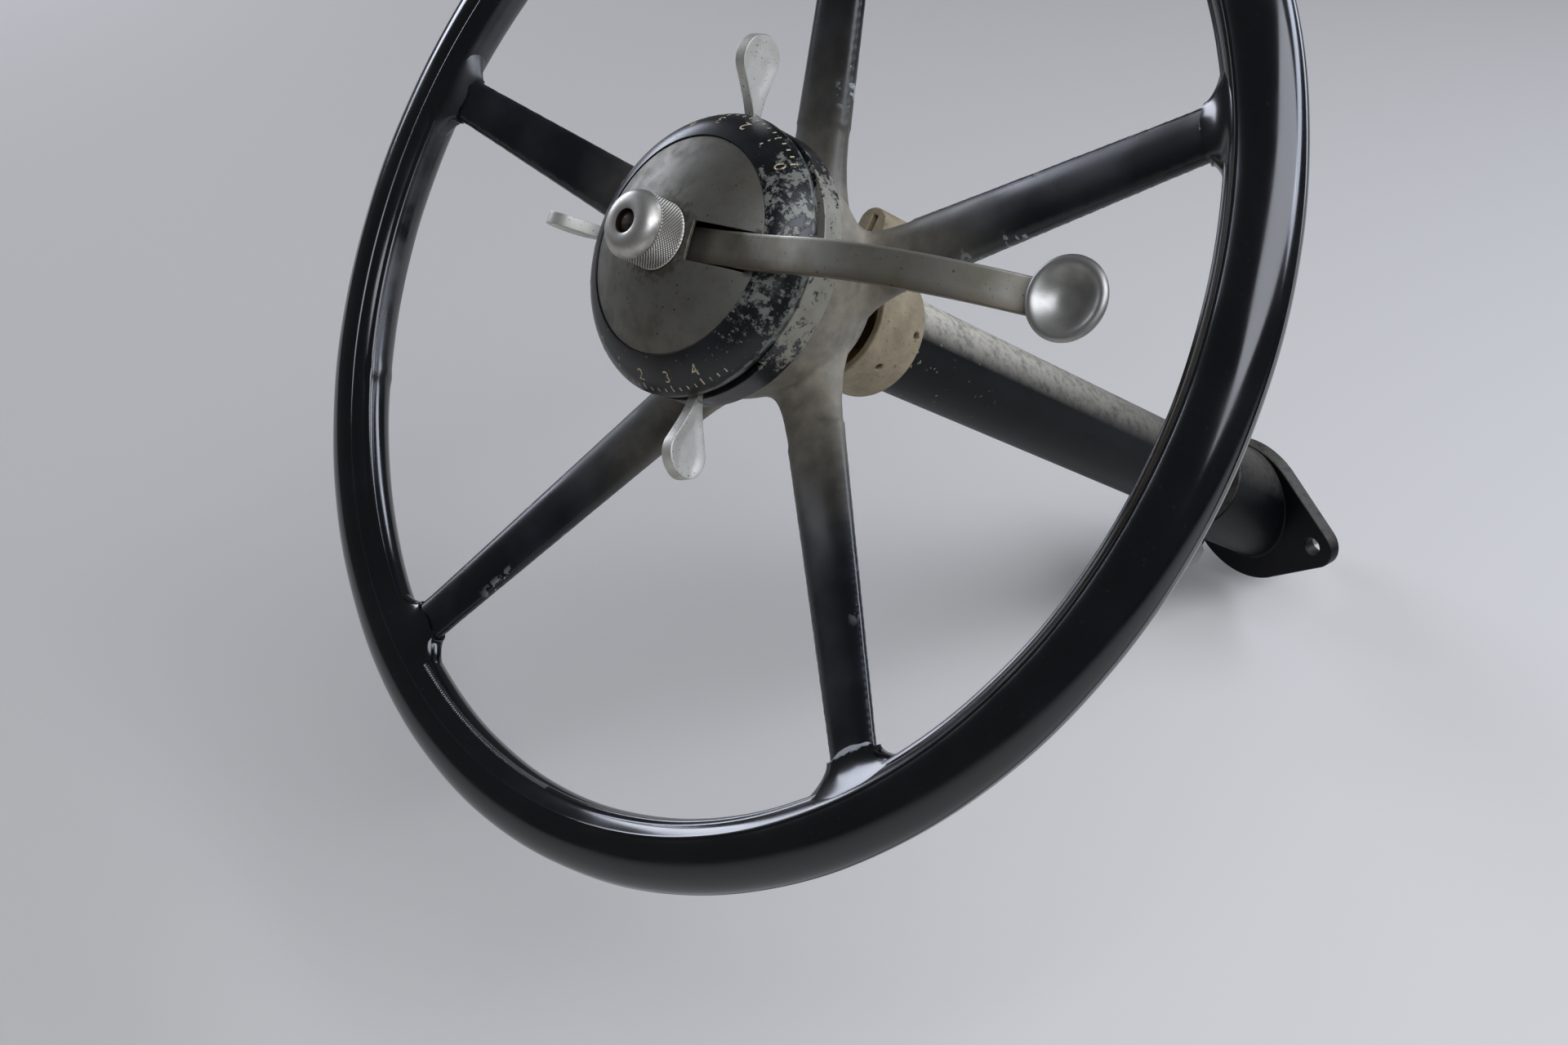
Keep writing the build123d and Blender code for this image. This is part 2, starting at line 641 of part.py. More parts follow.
def hand_lever(angle, lean, stack):
    """A hand lever: ring on the core, crank inside the drum, neck through the slot, spoon."""
    ring_h = HEAD_FLOOR + RING_FLOOR_GAP + stack * (RING_THICK + RING_GAP)
    with BuildPart() as lever:
        with BuildSketch(flat_plane(angle, ring_h)):
            Circle(CORE_R + RING_FIT + RING_WIDE)
            with Locations(((CORE_R + CRANK_END_R) / 2, 0)):
                Rectangle(CRANK_END_R - CORE_R, CRANK_WIDE)
            Circle(CORE_R + RING_FIT, mode=Mode.SUBTRACT)
        extrude(amount=RING_THICK)
        with BuildSketch(side_plane(angle)):
            with Locations((CRANK_END_R - RISER_DEEP / 2, (ring_h + neck_h + NECK_TALL / 2) / 2)):
                Rectangle(RISER_DEEP, neck_h + NECK_TALL / 2 - ring_h)
            with Locations(((CRANK_END_R - RISER_DEEP + SPOON_START_R) / 2, neck_h)):
                Rectangle(SPOON_START_R - CRANK_END_R + RISER_DEEP, NECK_TALL)
            with Locations(Location((SPOON_START_R, neck_h), lean)):
                add(spoon_face())
        extrude(amount=HAND_THICK / 2, both=True)
    return lever


def spoon_face():
    """Outline of the flat spoon: slim at the neck, flaring into a round end."""
    eye = SPOON_LONG - SPOON_R
    touch_x = eye + SPOON_R * cos(radians(SPOON_FLARE_ANGLE))
    touch_y = SPOON_R * sin(radians(SPOON_FLARE_ANGLE))
    flare_y = (SPOON_NECK / 2 + touch_y) / 2 + SPOON_FLARE_BULGE
    with BuildSketch(Plane.XY) as spoon:
        with BuildLine():
            Line((0, -SPOON_NECK / 2), (0, SPOON_NECK / 2))
            ThreePointArc((0, SPOON_NECK / 2), (touch_x / 2, flare_y), (touch_x, touch_y))
            ThreePointArc((touch_x, touch_y), (SPOON_LONG, 0), (touch_x, -touch_y))
            ThreePointArc((touch_x, -touch_y), (touch_x / 2, -flare_y), (0, -SPOON_NECK / 2))
        make_face()
    return spoon.sketch


for stack, (name, angle, lean) in enumerate(HAND_LEVER_ANGLES):
    lever = hand_lever(angle, lean, stack)
    lever.part.label = name
    export_step(lever.part, f"parts/{name}.step")

for name, piece in (
    ("rim", rim),
    ("spider", spider),
    ("steering_shaft", steering_shaft),
    ("stator_tube", stator_tube),
    ("column_jacket", column_jacket),
    ("column_collar", column_collar),
    ("upper_bush", upper_bush),
    ("lower_bush", lower_bush),
    ("bulkhead_flange", bulkhead_flange),
    ("clamp_bolt", clamp_bolt),
    ("clamp_nut", clamp_nut),
    ("head_base", head_base),
    ("head_bezel", head_bezel),
    ("face_disc", face_disc),
    ("knob", knob),
    ("knob_plug", knob_plug),
    ("long_lever", long_lever),
    ("lever_cup", lever_cup),
):
    piece.part.label = name
    export_step(piece.part, f"parts/{name}.step")
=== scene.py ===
# %% [markdown]
# A steering wheel from the 1920s, dressed for a close look.
#
# The solids come from CAD and arrive as loose triangles with plain grey finishes. This notebook
# keeps those whose shape is right, models finer stand-ins for the pieces whose shape carries the
# look, and gives every surface a finish built from nodes. Lengths are metres, as in Blender.

import bmesh
import bpy
from math import atan2, copysign, cos, exp, hypot, pi, radians, sin, sqrt, tan
from mathutils import Matrix, Vector


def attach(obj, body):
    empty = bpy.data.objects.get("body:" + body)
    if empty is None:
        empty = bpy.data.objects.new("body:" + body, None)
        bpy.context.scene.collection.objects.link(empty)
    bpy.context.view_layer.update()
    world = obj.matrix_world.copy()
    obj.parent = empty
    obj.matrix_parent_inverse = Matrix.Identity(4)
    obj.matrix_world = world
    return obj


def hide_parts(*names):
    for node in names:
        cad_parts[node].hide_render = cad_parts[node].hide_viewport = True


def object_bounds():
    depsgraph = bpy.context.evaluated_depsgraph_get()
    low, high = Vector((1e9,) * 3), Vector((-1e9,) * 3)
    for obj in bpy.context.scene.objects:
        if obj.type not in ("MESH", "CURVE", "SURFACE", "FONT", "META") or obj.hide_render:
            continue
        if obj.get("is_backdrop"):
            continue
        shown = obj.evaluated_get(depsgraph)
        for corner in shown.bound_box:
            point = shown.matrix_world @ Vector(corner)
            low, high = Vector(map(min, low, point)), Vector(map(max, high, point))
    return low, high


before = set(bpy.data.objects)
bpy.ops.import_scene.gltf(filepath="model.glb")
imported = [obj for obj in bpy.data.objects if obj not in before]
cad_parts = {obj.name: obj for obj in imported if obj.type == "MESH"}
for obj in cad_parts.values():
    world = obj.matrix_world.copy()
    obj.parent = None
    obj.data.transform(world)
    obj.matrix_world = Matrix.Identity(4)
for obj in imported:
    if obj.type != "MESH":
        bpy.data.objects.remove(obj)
cad_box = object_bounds()
MM = 0.001

# %% [markdown]
# The column leans back towards the driver, so its own directions make every later step easier.
# A place is given as a radius from the column's axis, an angle round it, and a height towards the
# driver from the plane of the rim. One matrix holds those directions, and a mesh that is modelled
# upright at the origin, in millimetres, is carried to the column by it.

# %% The column's own directions
RAKE = radians(35)
AXIS = Vector((0, -cos(RAKE), sin(RAKE)))
UP_WHEEL = Vector((0, sin(RAKE), cos(RAKE)))
RIGHT = Vector((1, 0, 0))
HUB = AXIS * 388 * MM

COLUMN = Matrix((RIGHT, UP_WHEEL, AXIS)).transposed().to_4x4()
COLUMN.translation = HUB
TO_ROW = COLUMN @ Matrix.Scale(MM, 4)

print("hub at", [round(v / MM, 1) for v in HUB])

# %% [markdown]
# The camera stands to the driver's right, close to the wheel, and looks down at it. So near, the
# perspective is strong, which is why the rim's near side looks much thicker than its far side.

# %% Camera
CAMERA_AT = HUB + Vector((507.0, -381.4, 303.7)) * MM
CAMERA_AIM = HUB + Vector((47.0, -14.6, -75.5)) * MM
LENS = 45.94
NEAREST = 20 * MM


def placed(name, data):
    """A new object in the scene."""
    thing = bpy.data.objects.new(name, data)
    bpy.context.scene.collection.objects.link(thing)
    return thing


def aimed(name, data, at, target):
    """A new object in the scene that stands at one place and looks at another."""
    thing = placed(name, data)
    thing.location = at
    thing.rotation_mode = "QUATERNION"
    thing.rotation_quaternion = (target - at).to_track_quat("-Z", "Y")
    return thing


camera_data = bpy.data.cameras.new("camera")
camera_data.lens = LENS
camera_data.clip_start = NEAREST
bpy.context.scene.camera = aimed("camera", camera_data, CAMERA_AT, CAMERA_AIM)
print("camera to hub:", round((HUB - CAMERA_AT).length, 3), "m")

# %% [markdown]
# Finishes are node graphs. Two helpers keep them short. One turns a hex colour, as a paint chart
# gives it, into the linear numbers that a shader wants. The other adds a node, sets it up and fills
# its open inputs in order: with a number, a hex colour, a node or one output of a node.

# %% Colour and node helpers
SHADER = "Principled BSDF"


def linear(hex_code):
    """Linear RGBA of an sRGB hex colour."""
    parts = [int(hex_code[i : i + 2], 16) / 255 for i in (1, 3, 5)]
    return tuple(c / 12.92 if c <= 0.04045 else ((c + 0.055) / 1.055) ** 2.4 for c in parts) + (1,)


def open_output(node):
    """The first output that a node's settings leave open."""
    return next(socket for socket in node.outputs if socket.enabled)


def add_node(tree, kind, *sources, **settings):
    """Adds a node with its settings, and fills or links its open inputs in order."""
    node = tree.nodes.new("ShaderNode" + kind)
    for key, value in settings.items():
        setattr(node, key, value)
    for socket, source in zip([s for s in node.inputs if s.enabled], sources):
        if isinstance(source, bpy.types.Node):
            source = open_output(source)
        if isinstance(source, bpy.types.NodeSocket):
            tree.links.new(source, socket)
        elif source is not None:
            socket.default_value = linear(source) if isinstance(source, str) else source
    return node


def new_finish(name, **values):
    """A material with one Principled shader, whose plain values are set on its own sockets."""
    material = bpy.data.materials.new(name)
    material.use_nodes = True
    sockets = material.node_tree.nodes[SHADER].inputs
    for key, value in values.items():
        value = linear(value) if isinstance(value, str) else value
        sockets[key.replace("_", " ")].default_value = value
    return material, material.node_tree


def vary(tree, **nodes):
    """Links to the shader what changes over a surface: colour, roughness, metal share or normal."""
    for key, node in nodes.items():
        tree.links.new(open_output(node), tree.nodes[SHADER].inputs[key.replace("_", " ")])


print("black enamel is", [round(c, 4) for c in linear("#0D0E11")[:3]])

# %% [markdown]
# Wear sits in places: dust near the hub, flaking on one side of the head. A Mapping node of the
# Texture kind undoes the column's own matrix, so every finish can ask for millimetres and degrees
# about the column. The pattern belongs to the mesh and turns with it.

# %% Places about the column
DEGREES = 180 / pi


def column_place(tree):
    """Nodes and outputs that give a surface point's place about the column."""
    source = add_node(tree, "TexCoord")
    size, turned = (MM, MM, MM), COLUMN.to_euler()
    local = add_node(tree, "Mapping", source.outputs["Object"], HUB, turned, size, vector_type="TEXTURE")
    split = add_node(tree, "SeparateXYZ", local)
    flat = add_node(tree, "CombineXYZ", split.outputs[0], split.outputs[1])
    turn = add_node(tree, "Math", split.outputs[1], split.outputs[0], operation="ARCTAN2")
    facing = add_node(tree, "SeparateXYZ", source.outputs["Normal"])
    return {
        "mm": local,
        "height": split.outputs[2],
        "radius": add_node(tree, "VectorMath", flat, operation="LENGTH"),
        "turn": turn,
        "degrees": add_node(tree, "Math", turn, DEGREES, operation="MULTIPLY"),
        "facing_up": facing.outputs[2],
    }


print("a radian is", round(DEGREES, 2), "degrees")

# %% [markdown]
# Wear comes in patches and in films that lie over one another. A patch is cloudy noise, so many
# millimetres wide, cut off between two levels. A film has a share of the surface, which is often a
# patch, and a colour and a roughness that it mixes in over what is there already.

# %% Patches and films
def patches(tree, place, size, detail, low, high, *reach, rough=0.5):
    """Cloudy patches of a size in millimetres: none below the low level, full from the high one."""
    clouds = add_node(tree, "TexNoise", place["mm"], 1 / size, detail, rough)
    return add_node(tree, "MapRange", clouds, low, high, *reach)


def layered(tree, colour, gloss, *films):
    """Links a colour and a roughness under films: each a share, a colour, perhaps a roughness."""
    for share, film_colour, film_gloss in films:
        colour = add_node(tree, "Mix", share, colour, film_colour, data_type="RGBA")
        if film_gloss is not None:
            gloss = add_node(tree, "Mix", share, gloss, film_gloss)
    vary(tree, Base_Color=colour)
    if gloss is not None:
        vary(tree, Roughness=gloss)


print("the finest patches are near a millimetre")

# %% [markdown]
# The rim is hard rubber, a vulcanised rubber polished like ebony. Its IOR is about 1.66, a little
# over plastic's. Hands have kept it glossy, with faint smears. A strip on its inner side is cloudy
# grey at the far left, and has fine saw marks along its front ridge at the bottom. Where the rubber
# is moulded round a spoke's foot, its thin lip is painted pale on the wheel's right side, partly as
# wear and partly as a painted highlight along the lip's edge.

# %% Hard rubber
SAW_MARK_DEGREES = 0.36

hard_rubber, tree = new_finish("hard_rubber", IOR=1.66)
place = column_place(tree)
smears = patches(tree, place, 22, 2, 0.4, 0.75)
specks = patches(tree, place, 1.6, 4, 0.66, 0.72, 0, 0.3)
cloudy = patches(tree, place, 30, 4, 0.35, 0.6, 0, 0.7)
behind = add_node(tree, "MapRange", place["height"], 5.5, 3.5)
inner = add_node(tree, "MapRange", place["radius"], 196, 193)
far_left = add_node(tree, "Math", place["degrees"], operation="ABSOLUTE")
far_left = add_node(tree, "MapRange", far_left, 142, 160)
for mask in (behind, inner, far_left):
    cloudy = add_node(tree, "Math", cloudy, mask, operation="MULTIPLY")
# The lip's pale colour, on the wheel's right side only: partly worn rubber, partly a painted highlight
# along the lip's edge.
worn_lip_and_highlight = add_node(tree, "TexNoise", place["mm"], 1 / 2.5, 3)
worn_lip_and_highlight = add_node(tree, "Math", worn_lip_and_highlight, 3.0, place["radius"], operation="MULTIPLY_ADD")
worn_lip_and_highlight = add_node(tree, "MapRange", worn_lip_and_highlight, 184.3, 183.8)
right_side = add_node(tree, "Math", place["degrees"], 0, 60, operation="COMPARE")
worn_lip_and_highlight = add_node(tree, "Math", worn_lip_and_highlight, right_side, operation="MULTIPLY")
layered(
    tree,
    "#04060A",
    0.13,
    (smears, "#090B0F", 0.2),
    (specks, "#33332F", None),
    (cloudy, "#3C3D3E", 0.55),
    (worn_lip_and_highlight, "#9EA3A6", 0.5),
)
saw_marks = add_node(tree, "Math", place["degrees"], 2 * pi / SAW_MARK_DEGREES, operation="MULTIPLY")
saw_marks = add_node(tree, "Math", saw_marks, operation="SINE")
for source, middle, half in (("degrees", -92, 13), ("height", 4.9, 0.8), ("radius", 191.4, 1.0)):
    here = add_node(tree, "Math", place[source], middle, half, operation="COMPARE")
    saw_marks = add_node(tree, "Math", saw_marks, here, operation="MULTIPLY")
vary(tree, Normal=add_node(tree, "Bump", 1.0, 0.35 * MM, None, saw_marks))
print("hard rubber:", len(tree.nodes), "nodes")

# %% [markdown]
# The spider is cast aluminium under black stove enamel. The enamel is baked thick and glossy, and
# it has chipped in a few clusters along the spokes' edges, where bare grey metal shows. Towards the
# hub nobody polishes it, so beige dust has settled and stuck. The Wrap operation folds the five
# spokes onto one, which gives a distance from the middle of whichever spoke a point is on.

# %% Chipped stove enamel
SPOKES = 5
SPOKE_START = 33.7
TOP_SPOKE = SPOKE_START + 360 / SPOKES

spoke_enamel, tree = new_finish("spoke_enamel", IOR=1.52)
place = column_place(tree)
folded = add_node(tree, "Math", place["turn"], radians(SPOKE_START), operation="SUBTRACT")
folded = add_node(tree, "Math", folded, pi / SPOKES, -pi / SPOKES, operation="WRAP")
across = add_node(tree, "Math", folded, operation="SINE")
across = add_node(tree, "Math", across, place["radius"], operation="MULTIPLY")
across = add_node(tree, "Math", across, operation="ABSOLUTE")
edge = add_node(tree, "MapRange", across, 6.5, 9.5)
chips = patches(tree, place, 6, 6, 0.57, 0.6, rough=0.55)
clusters = patches(tree, place, 42, 1, 0.56, 0.62)
short_of_rim = add_node(tree, "MapRange", place["radius"], 176, 168)
for mask in (edge, clusters, short_of_rim):
    chips = add_node(tree, "Math", chips, mask, operation="MULTIPLY")
near_hub = add_node(tree, "MapRange", place["radius"], 118, 44)
near_hub = add_node(tree, "Math", near_hub, 1.7, operation="POWER")
from_top = add_node(tree, "Math", place["degrees"], TOP_SPOKE, operation="SUBTRACT")
from_top = add_node(tree, "Math", from_top, operation="ABSOLUTE")
from_top = add_node(tree, "MapRange", from_top, 14, 36, 0.45, 1)
dusty = patches(tree, place, 14, 6, 0.3, 0.65, 0.5, 1, rough=0.65)
near_hub = add_node(tree, "Math", near_hub, from_top, operation="MULTIPLY")
dusty = add_node(tree, "Math", dusty, near_hub, operation="MULTIPLY")
# Haze patches make the enamel duller, and their lighter blue-grey colour is a painted sheen.
haze = patches(tree, place, 36, 4, 0.45, 0.75)
dust_shade = add_node(tree, "TexNoise", place["mm"], 1 / 5, 4)
dust_shade = add_node(tree, "Mix", dust_shade, "#746D5F", "#A49D8C", data_type="RGBA")
layered(
    tree,
    "#0A0D12",
    0.24,
    (haze, "#1B2026", 0.38),
    (chips, "#8F9498", 0.45),
    (dusty, dust_shade, 0.8),
)
grit = add_node(tree, "TexNoise", place["mm"], 1 / 1.5, 3)
grit = add_node(tree, "Math", grit, dusty, operation="MULTIPLY")
surface = add_node(tree, "Math", grit, chips, operation="SUBTRACT")
vary(tree, Normal=add_node(tree, "Bump", 0.6, 0.12 * MM, None, surface))
print("spoke enamel:", len(tree.nodes), "nodes")

# %% [markdown]
# The control head's bezel and drum wore the same black enamel, but on the side towards the
# window it has flaked away, down to a pale plated metal on the bezel and an old white priming on
# the drum. One recipe makes both: a flaking share that is high on one side, and noise that decides
# flake by flake where the enamel still holds.

# %% Flaking enamel
FLAKED_MIDDLE = 20.0


def flaking_enamel(name, under, under_dark, half_width, hold, dirt):
    """Black enamel that has flaked off round one side and shows what is under it."""
    material, tree = new_finish(name, IOR=1.5)
    place = column_place(tree)
    away = add_node(tree, "Math", place["degrees"], FLAKED_MIDDLE, operation="SUBTRACT")
    away = add_node(tree, "Math", away, operation="ABSOLUTE")
    lost = add_node(tree, "MapRange", away, half_width + 28, half_width - 22, 0, 0.38)
    flakes = add_node(tree, "TexNoise", place["mm"], 1 / 4.4, 10, 0.76)
    flakes = add_node(tree, "Math", flakes, lost, operation="ADD")
    bare = add_node(tree, "MapRange", flakes, hold, hold + 0.03)
    scratches = patches(tree, place, 1.4, 2, 0.7, 0.74)
    lip = add_node(tree, "TexNoise", place["mm"], 1 / 4, 4)
    lip = add_node(tree, "Math", lip, 1.2, place["radius"], operation="MULTIPLY_ADD")
    lip = add_node(tree, "MapRange", lip, 50.85, 51.1, 0, 0.85)
    for worn in (scratches, lip):
        bare = add_node(tree, "Math", bare, worn, operation="MAXIMUM")
    clouds = add_node(tree, "TexNoise", place["mm"], 1 / 8, 4)
    metal = add_node(tree, "Mix", clouds, under, under_dark, data_type="RGBA")
    haze = patches(tree, place, 18, 4, 0.4, 0.8)
    grime = patches(tree, place, 6, 5, 0.35, 0.65, 0, dirt)
    low_side = add_node(tree, "MapRange", place["degrees"], -25, -75)
    grime = add_node(tree, "Math", grime, low_side, operation="MULTIPLY")
    films = (haze, "#232427", None), (bare, metal, 0.5), (grime, "#3A3024", 0.6)
    layered(tree, "#0C0D0F", 0.3, *films)
    metal_share = add_node(tree, "Math", bare, 0.35, operation="MULTIPLY")
    vary(tree, Metallic=metal_share, Normal=add_node(tree, "Bump", 0.8, -0.12 * MM, None, bare))
    return material


bezel_enamel = flaking_enamel("bezel_enamel", "#83857D", "#5B5D55", 56, 0.88, 0.15)
drum_enamel = flaking_enamel("drum_enamel", "#9C998B", "#726F64", 50, 0.8, 0.9)
print("bezel enamel:", len(bezel_enamel.node_tree.nodes), "nodes")

# %% [markdown]
# The face disc is nickel-plated steel that has gone dull. Old nickel turns a warm, olive grey,
# clouded by a film of brown, with pinholes where rust has come through. A metal keeps the shader's
# default IOR, and its look is in its colour and its roughness.

# %% Dull nickel
dull_nickel, tree = new_finish("dull_nickel", Metallic=0.85)
place = column_place(tree)
clouds = patches(tree, place, 24, 4, 0.35, 0.7)
stains = patches(tree, place, 6, 6, 0.45, 0.8, 0, 0.45)
pits = patches(tree, place, 1.3, 2, 0.7, 0.74)
by_knob = add_node(tree, "TexNoise", place["mm"], 1 / 2.2, 5)
by_knob = add_node(tree, "Math", by_knob, -14, place["radius"], operation="MULTIPLY_ADD")
by_knob = add_node(tree, "MapRange", by_knob, 9, 6, 0, 0.55)
layered(
    tree,
    "#807E76",
    0.46,
    (clouds, "#6C695F", 0.56),
    (stains, "#4F4A3E", 0.68),
    (pits, "#2E2922", None),
    (by_knob, "#473F32", None),
)
vary(tree, Normal=add_node(tree, "Bump", 0.5, -0.05 * MM, None, pits))
print("dull nickel:", len(tree.nodes), "nodes")

# %% [markdown]
# The long lever has the same nickel. Its upper edge is painted bright, partly as rubbing by thumbs
# and partly as a painted highlight, and its lower side is painted brown, partly as tarnish and
# partly as painted shade. Its own direction round the column tells the two edges apart.

# %% Lever nickel
LEVER_ANGLE = 15.2

lever_nickel, tree = new_finish("lever_nickel", Metallic=0.85)
place = column_place(tree)
across = add_node(tree, "Math", place["turn"], radians(LEVER_ANGLE), operation="SUBTRACT")
across = add_node(tree, "Math", across, operation="SINE")
across = add_node(tree, "Math", across, place["radius"], operation="MULTIPLY")
# Upper edge painted bright: partly rubbed metal, partly a painted highlight. Lower side painted brown:
# partly tarnish, partly painted shade.
rubbed_and_highlit = add_node(tree, "MapRange", across, 4.9, 5.8, 0, 0.85)
browned_and_shaded = add_node(tree, "MapRange", across, -2.0, -6.0, 0, 0.8)
clouds = patches(tree, place, 15, 5, 0.35, 0.7)
pits = patches(tree, place, 1.2, 3, 0.66, 0.72, 0, 0.7)
layered(
    tree,
    "#97948A",
    0.42,
    (clouds, "#75705F", 0.55),
    (browned_and_shaded, "#6A6050", None),
    (rubbed_and_highlit, "#C4C2B8", 0.36),
    (pits, "#3F392F", None),
)
vary(tree, Normal=add_node(tree, "Bump", 0.5, -0.05 * MM, None, pits))
print("lever nickel:", len(tree.nodes), "nodes")

# %% [markdown]
# What fingers touch stays bright. The cup at the lever's end is polished by use, and the hand
# levers are paler and finely pitted, with a white bloom over the metal. Both are nickel again, so
# one recipe takes a brightness, a roughness, an amount of pitting and a share of clean metal.

# %% Handled nickel
def handled_nickel(name, bright, shaded, smooth, pitted, metal):
    """Nickel that hands keep bright, with finer or coarser pitting."""
    material, tree = new_finish(name, Metallic=metal)
    place = column_place(tree)
    clouds = patches(tree, place, 9, 5, 0.4, 0.7)
    pits = patches(tree, place, 1.1, 3, pitted, pitted + 0.05, 0, 0.75)
    layered(tree, bright, smooth, (clouds, shaded, smooth + 0.12), (pits, "#4F4A3F", 0.6))
    vary(tree, Normal=add_node(tree, "Bump", 0.5, -0.06 * MM, None, pits))
    return material


cup_nickel = handled_nickel("cup_nickel", "#A9A7A2", "#8C8A85", 0.43, 0.74, 0.9)
hand_nickel = handled_nickel("hand_nickel", "#D6D4CB", "#B9B7AD", 0.46, 0.65, 0.72)
print("handled nickel:", len(cup_nickel.node_tree.nodes), "nodes")

# %% [markdown]
# The knob carries three finishes on one mesh. Its cap is polished like the cup, its knurled side
# is grey and darker in its grooves, and its centre hole is brown. Height and radius tell them
# apart, and the grooves are simply where the knurl's radius is small.

# %% Knob nickel
KNOB_R = 12.0
KNOB_SHOULDER = 49.4

knob_nickel, tree = new_finish("knob_nickel")
place = column_place(tree)
clouds = patches(tree, place, 5, 4, 0.4, 0.7)
side = add_node(tree, "MapRange", place["height"], KNOB_SHOULDER + 0.2, KNOB_SHOULDER - 0.2)
groove = add_node(tree, "MapRange", place["radius"], KNOB_R - 0.05, KNOB_R - 0.35, 0, 0.8)
groove = add_node(tree, "Math", groove, side, operation="MULTIPLY")
tarnish = patches(tree, place, 4, 4, 0.4, 0.6, 0, 0.6)
low_cap = add_node(tree, "MapRange", place["height"], KNOB_SHOULDER + 2.4, KNOB_SHOULDER)
tarnish = add_node(tree, "Math", tarnish, low_cap, operation="MULTIPLY")
hole = add_node(tree, "MapRange", place["radius"], 4.5, 4.15)
layered(
    tree,
    "#C4C1BA",
    0.38,
    (clouds, "#A8A59D", 0.47),
    (tarnish, "#6E5F42", None),
    (side, "#CFCCC3", 0.5),
    (groove, "#4A453A", None),
    (hole, "#2B1F18", 0.7),
)
vary(tree, Metallic=add_node(tree, "Mix", side, 0.85, 0.5))
print("knob nickel:", len(tree.nodes), "nodes")

# %% [markdown]
# The collar under the wheel is painted beige, now the colour of dust, with brown specks and a
# sandy feel. The jacket is satin black enamel. Dust lies on its upper side, thickest near the
# collar, and the object's own normal tells which side is up, so the dust stays put.

# %% Collar paint and column enamel
collar_paint, tree = new_finish("collar_paint", IOR=1.5, Roughness=0.62)
place = column_place(tree)
clouds = patches(tree, place, 9, 6, 0.35, 0.65, rough=0.65)
specks = patches(tree, place, 1.8, 4, 0.62, 0.7, 0, 0.7)
sand = add_node(tree, "TexNoise", place["mm"], 1 / 1.2, 4)
layered(tree, "#978B70", None, (clouds, "#7D7159", None), (specks, "#564C3A", None))
vary(tree, Normal=add_node(tree, "Bump", 0.5, 0.12 * MM, None, sand))

column_enamel, tree = new_finish("column_enamel", IOR=1.5, Specular_IOR_Level=0.12)
place = column_place(tree)
on_top = add_node(tree, "MapRange", place["facing_up"], 0.28, 0.72)
near_collar = add_node(tree, "MapRange", place["height"], -300, -75, 0.12, 1)
mottled = patches(tree, place, 4, 8, 0.34, 0.54, 0.4, 1, rough=0.75)
dust = add_node(tree, "Math", on_top, near_collar, operation="MULTIPLY")
dust = add_node(tree, "Math", dust, mottled, operation="MULTIPLY")
chips = patches(tree, place, 3, 4, 0.68, 0.7)
by_collar = add_node(tree, "MapRange", place["height"], -150, -85)
chips = add_node(tree, "Math", chips, by_collar, operation="MULTIPLY")
haze = patches(tree, place, 20, 4, 0.4, 0.7)
films = (haze, "#0E0F11", None), (dust, "#C9C3B4", 0.85), (chips, "#8F8B80", 0.5)
layered(tree, "#07080A", 0.38, *films)
vary(tree, Normal=add_node(tree, "Bump", 0.5, -0.08 * MM, None, chips))
print("column enamel:", len(tree.nodes), "nodes")

# %% [markdown]
# The lower end is plain machine work: turned steel for the shaft, the fixed tube and the pinch
# bolt, and bronze for the bushes. A lathe leaves fine rings, so the noise is stretched to run
# round the column and change quickly along it. Real ones are a fraction of that apart, and are
# drawn coarser here so that they show.

# %% Turned steel, bearing bronze and the black plug
def turned_metal(name, bright, shaded, smooth):
    """Metal with a lathe's fine rings and a light film of oil and dust."""
    material, tree = new_finish(name, Metallic=0.95)
    place = column_place(tree)
    rings = add_node(tree, "Mapping", place["mm"], None, None, (0.03, 0.03, 2.5))
    rings = add_node(tree, "TexNoise", rings, 1.0, 4)
    rings = add_node(tree, "MapRange", rings, 0.3, 0.7)
    film = patches(tree, place, 12, 4, 0.4, 0.7)
    colour = add_node(tree, "Mix", film, bright, shaded, data_type="RGBA")
    gloss = add_node(tree, "Mix", rings, smooth, smooth + 0.15)
    vary(tree, Base_Color=colour, Roughness=gloss)
    vary(tree, Normal=add_node(tree, "Bump", 0.5, 0.01 * MM, None, rings))
    return material


turned_steel = turned_metal("turned_steel", "#8B8A86", "#6B6964", 0.3)
bearing_bronze = turned_metal("bearing_bronze", "#9C7B48", "#7C6038", 0.35)

plug_black, tree = new_finish("plug_black", IOR=1.5)
grime = patches(tree, column_place(tree), 2, 4, 0.4, 0.7)
layered(tree, "#1E1613", 0.4, (grime, "#35281F", 0.7))
print("materials so far:", len(bpy.data.materials))

# %% [markdown]
# Meshes are modelled upright at the origin in the column's millimetres. Two helpers read a curve
# and a table. The others spin a profile into a turned piece, bridge a row of rings into a loft,
# round sharp edges, smooth, and turn a mesh about its origin.

# %% Modelling helpers
TURN_STEPS = 192


def arc(start, through, end, count):
    """Points on the circle through three (radius, height) points, from the first to the last."""
    (ax, ay), (bx, by), (cx, cy) = start, through, end
    d = 2 * (ax * (by - cy) + bx * (cy - ay) + cx * (ay - by))
    a2, b2, c2 = ax * ax + ay * ay, bx * bx + by * by, cx * cx + cy * cy
    mx = (a2 * (by - cy) + b2 * (cy - ay) + c2 * (ay - by)) / d
    my = (a2 * (cx - bx) + b2 * (ax - cx) + c2 * (bx - ax)) / d
    first, last = atan2(ay - my, ax - mx), atan2(cy - my, cx - mx)
    sweep = (last - first) % (2 * pi)
    if (atan2(by - my, bx - mx) - first) % (2 * pi) > sweep:
        sweep -= 2 * pi
    size = hypot(ax - mx, ay - my)
    turns = [first + sweep * i / count for i in range(count + 1)]
    return [(mx + size * cos(t), my + size * sin(t)) for t in turns]


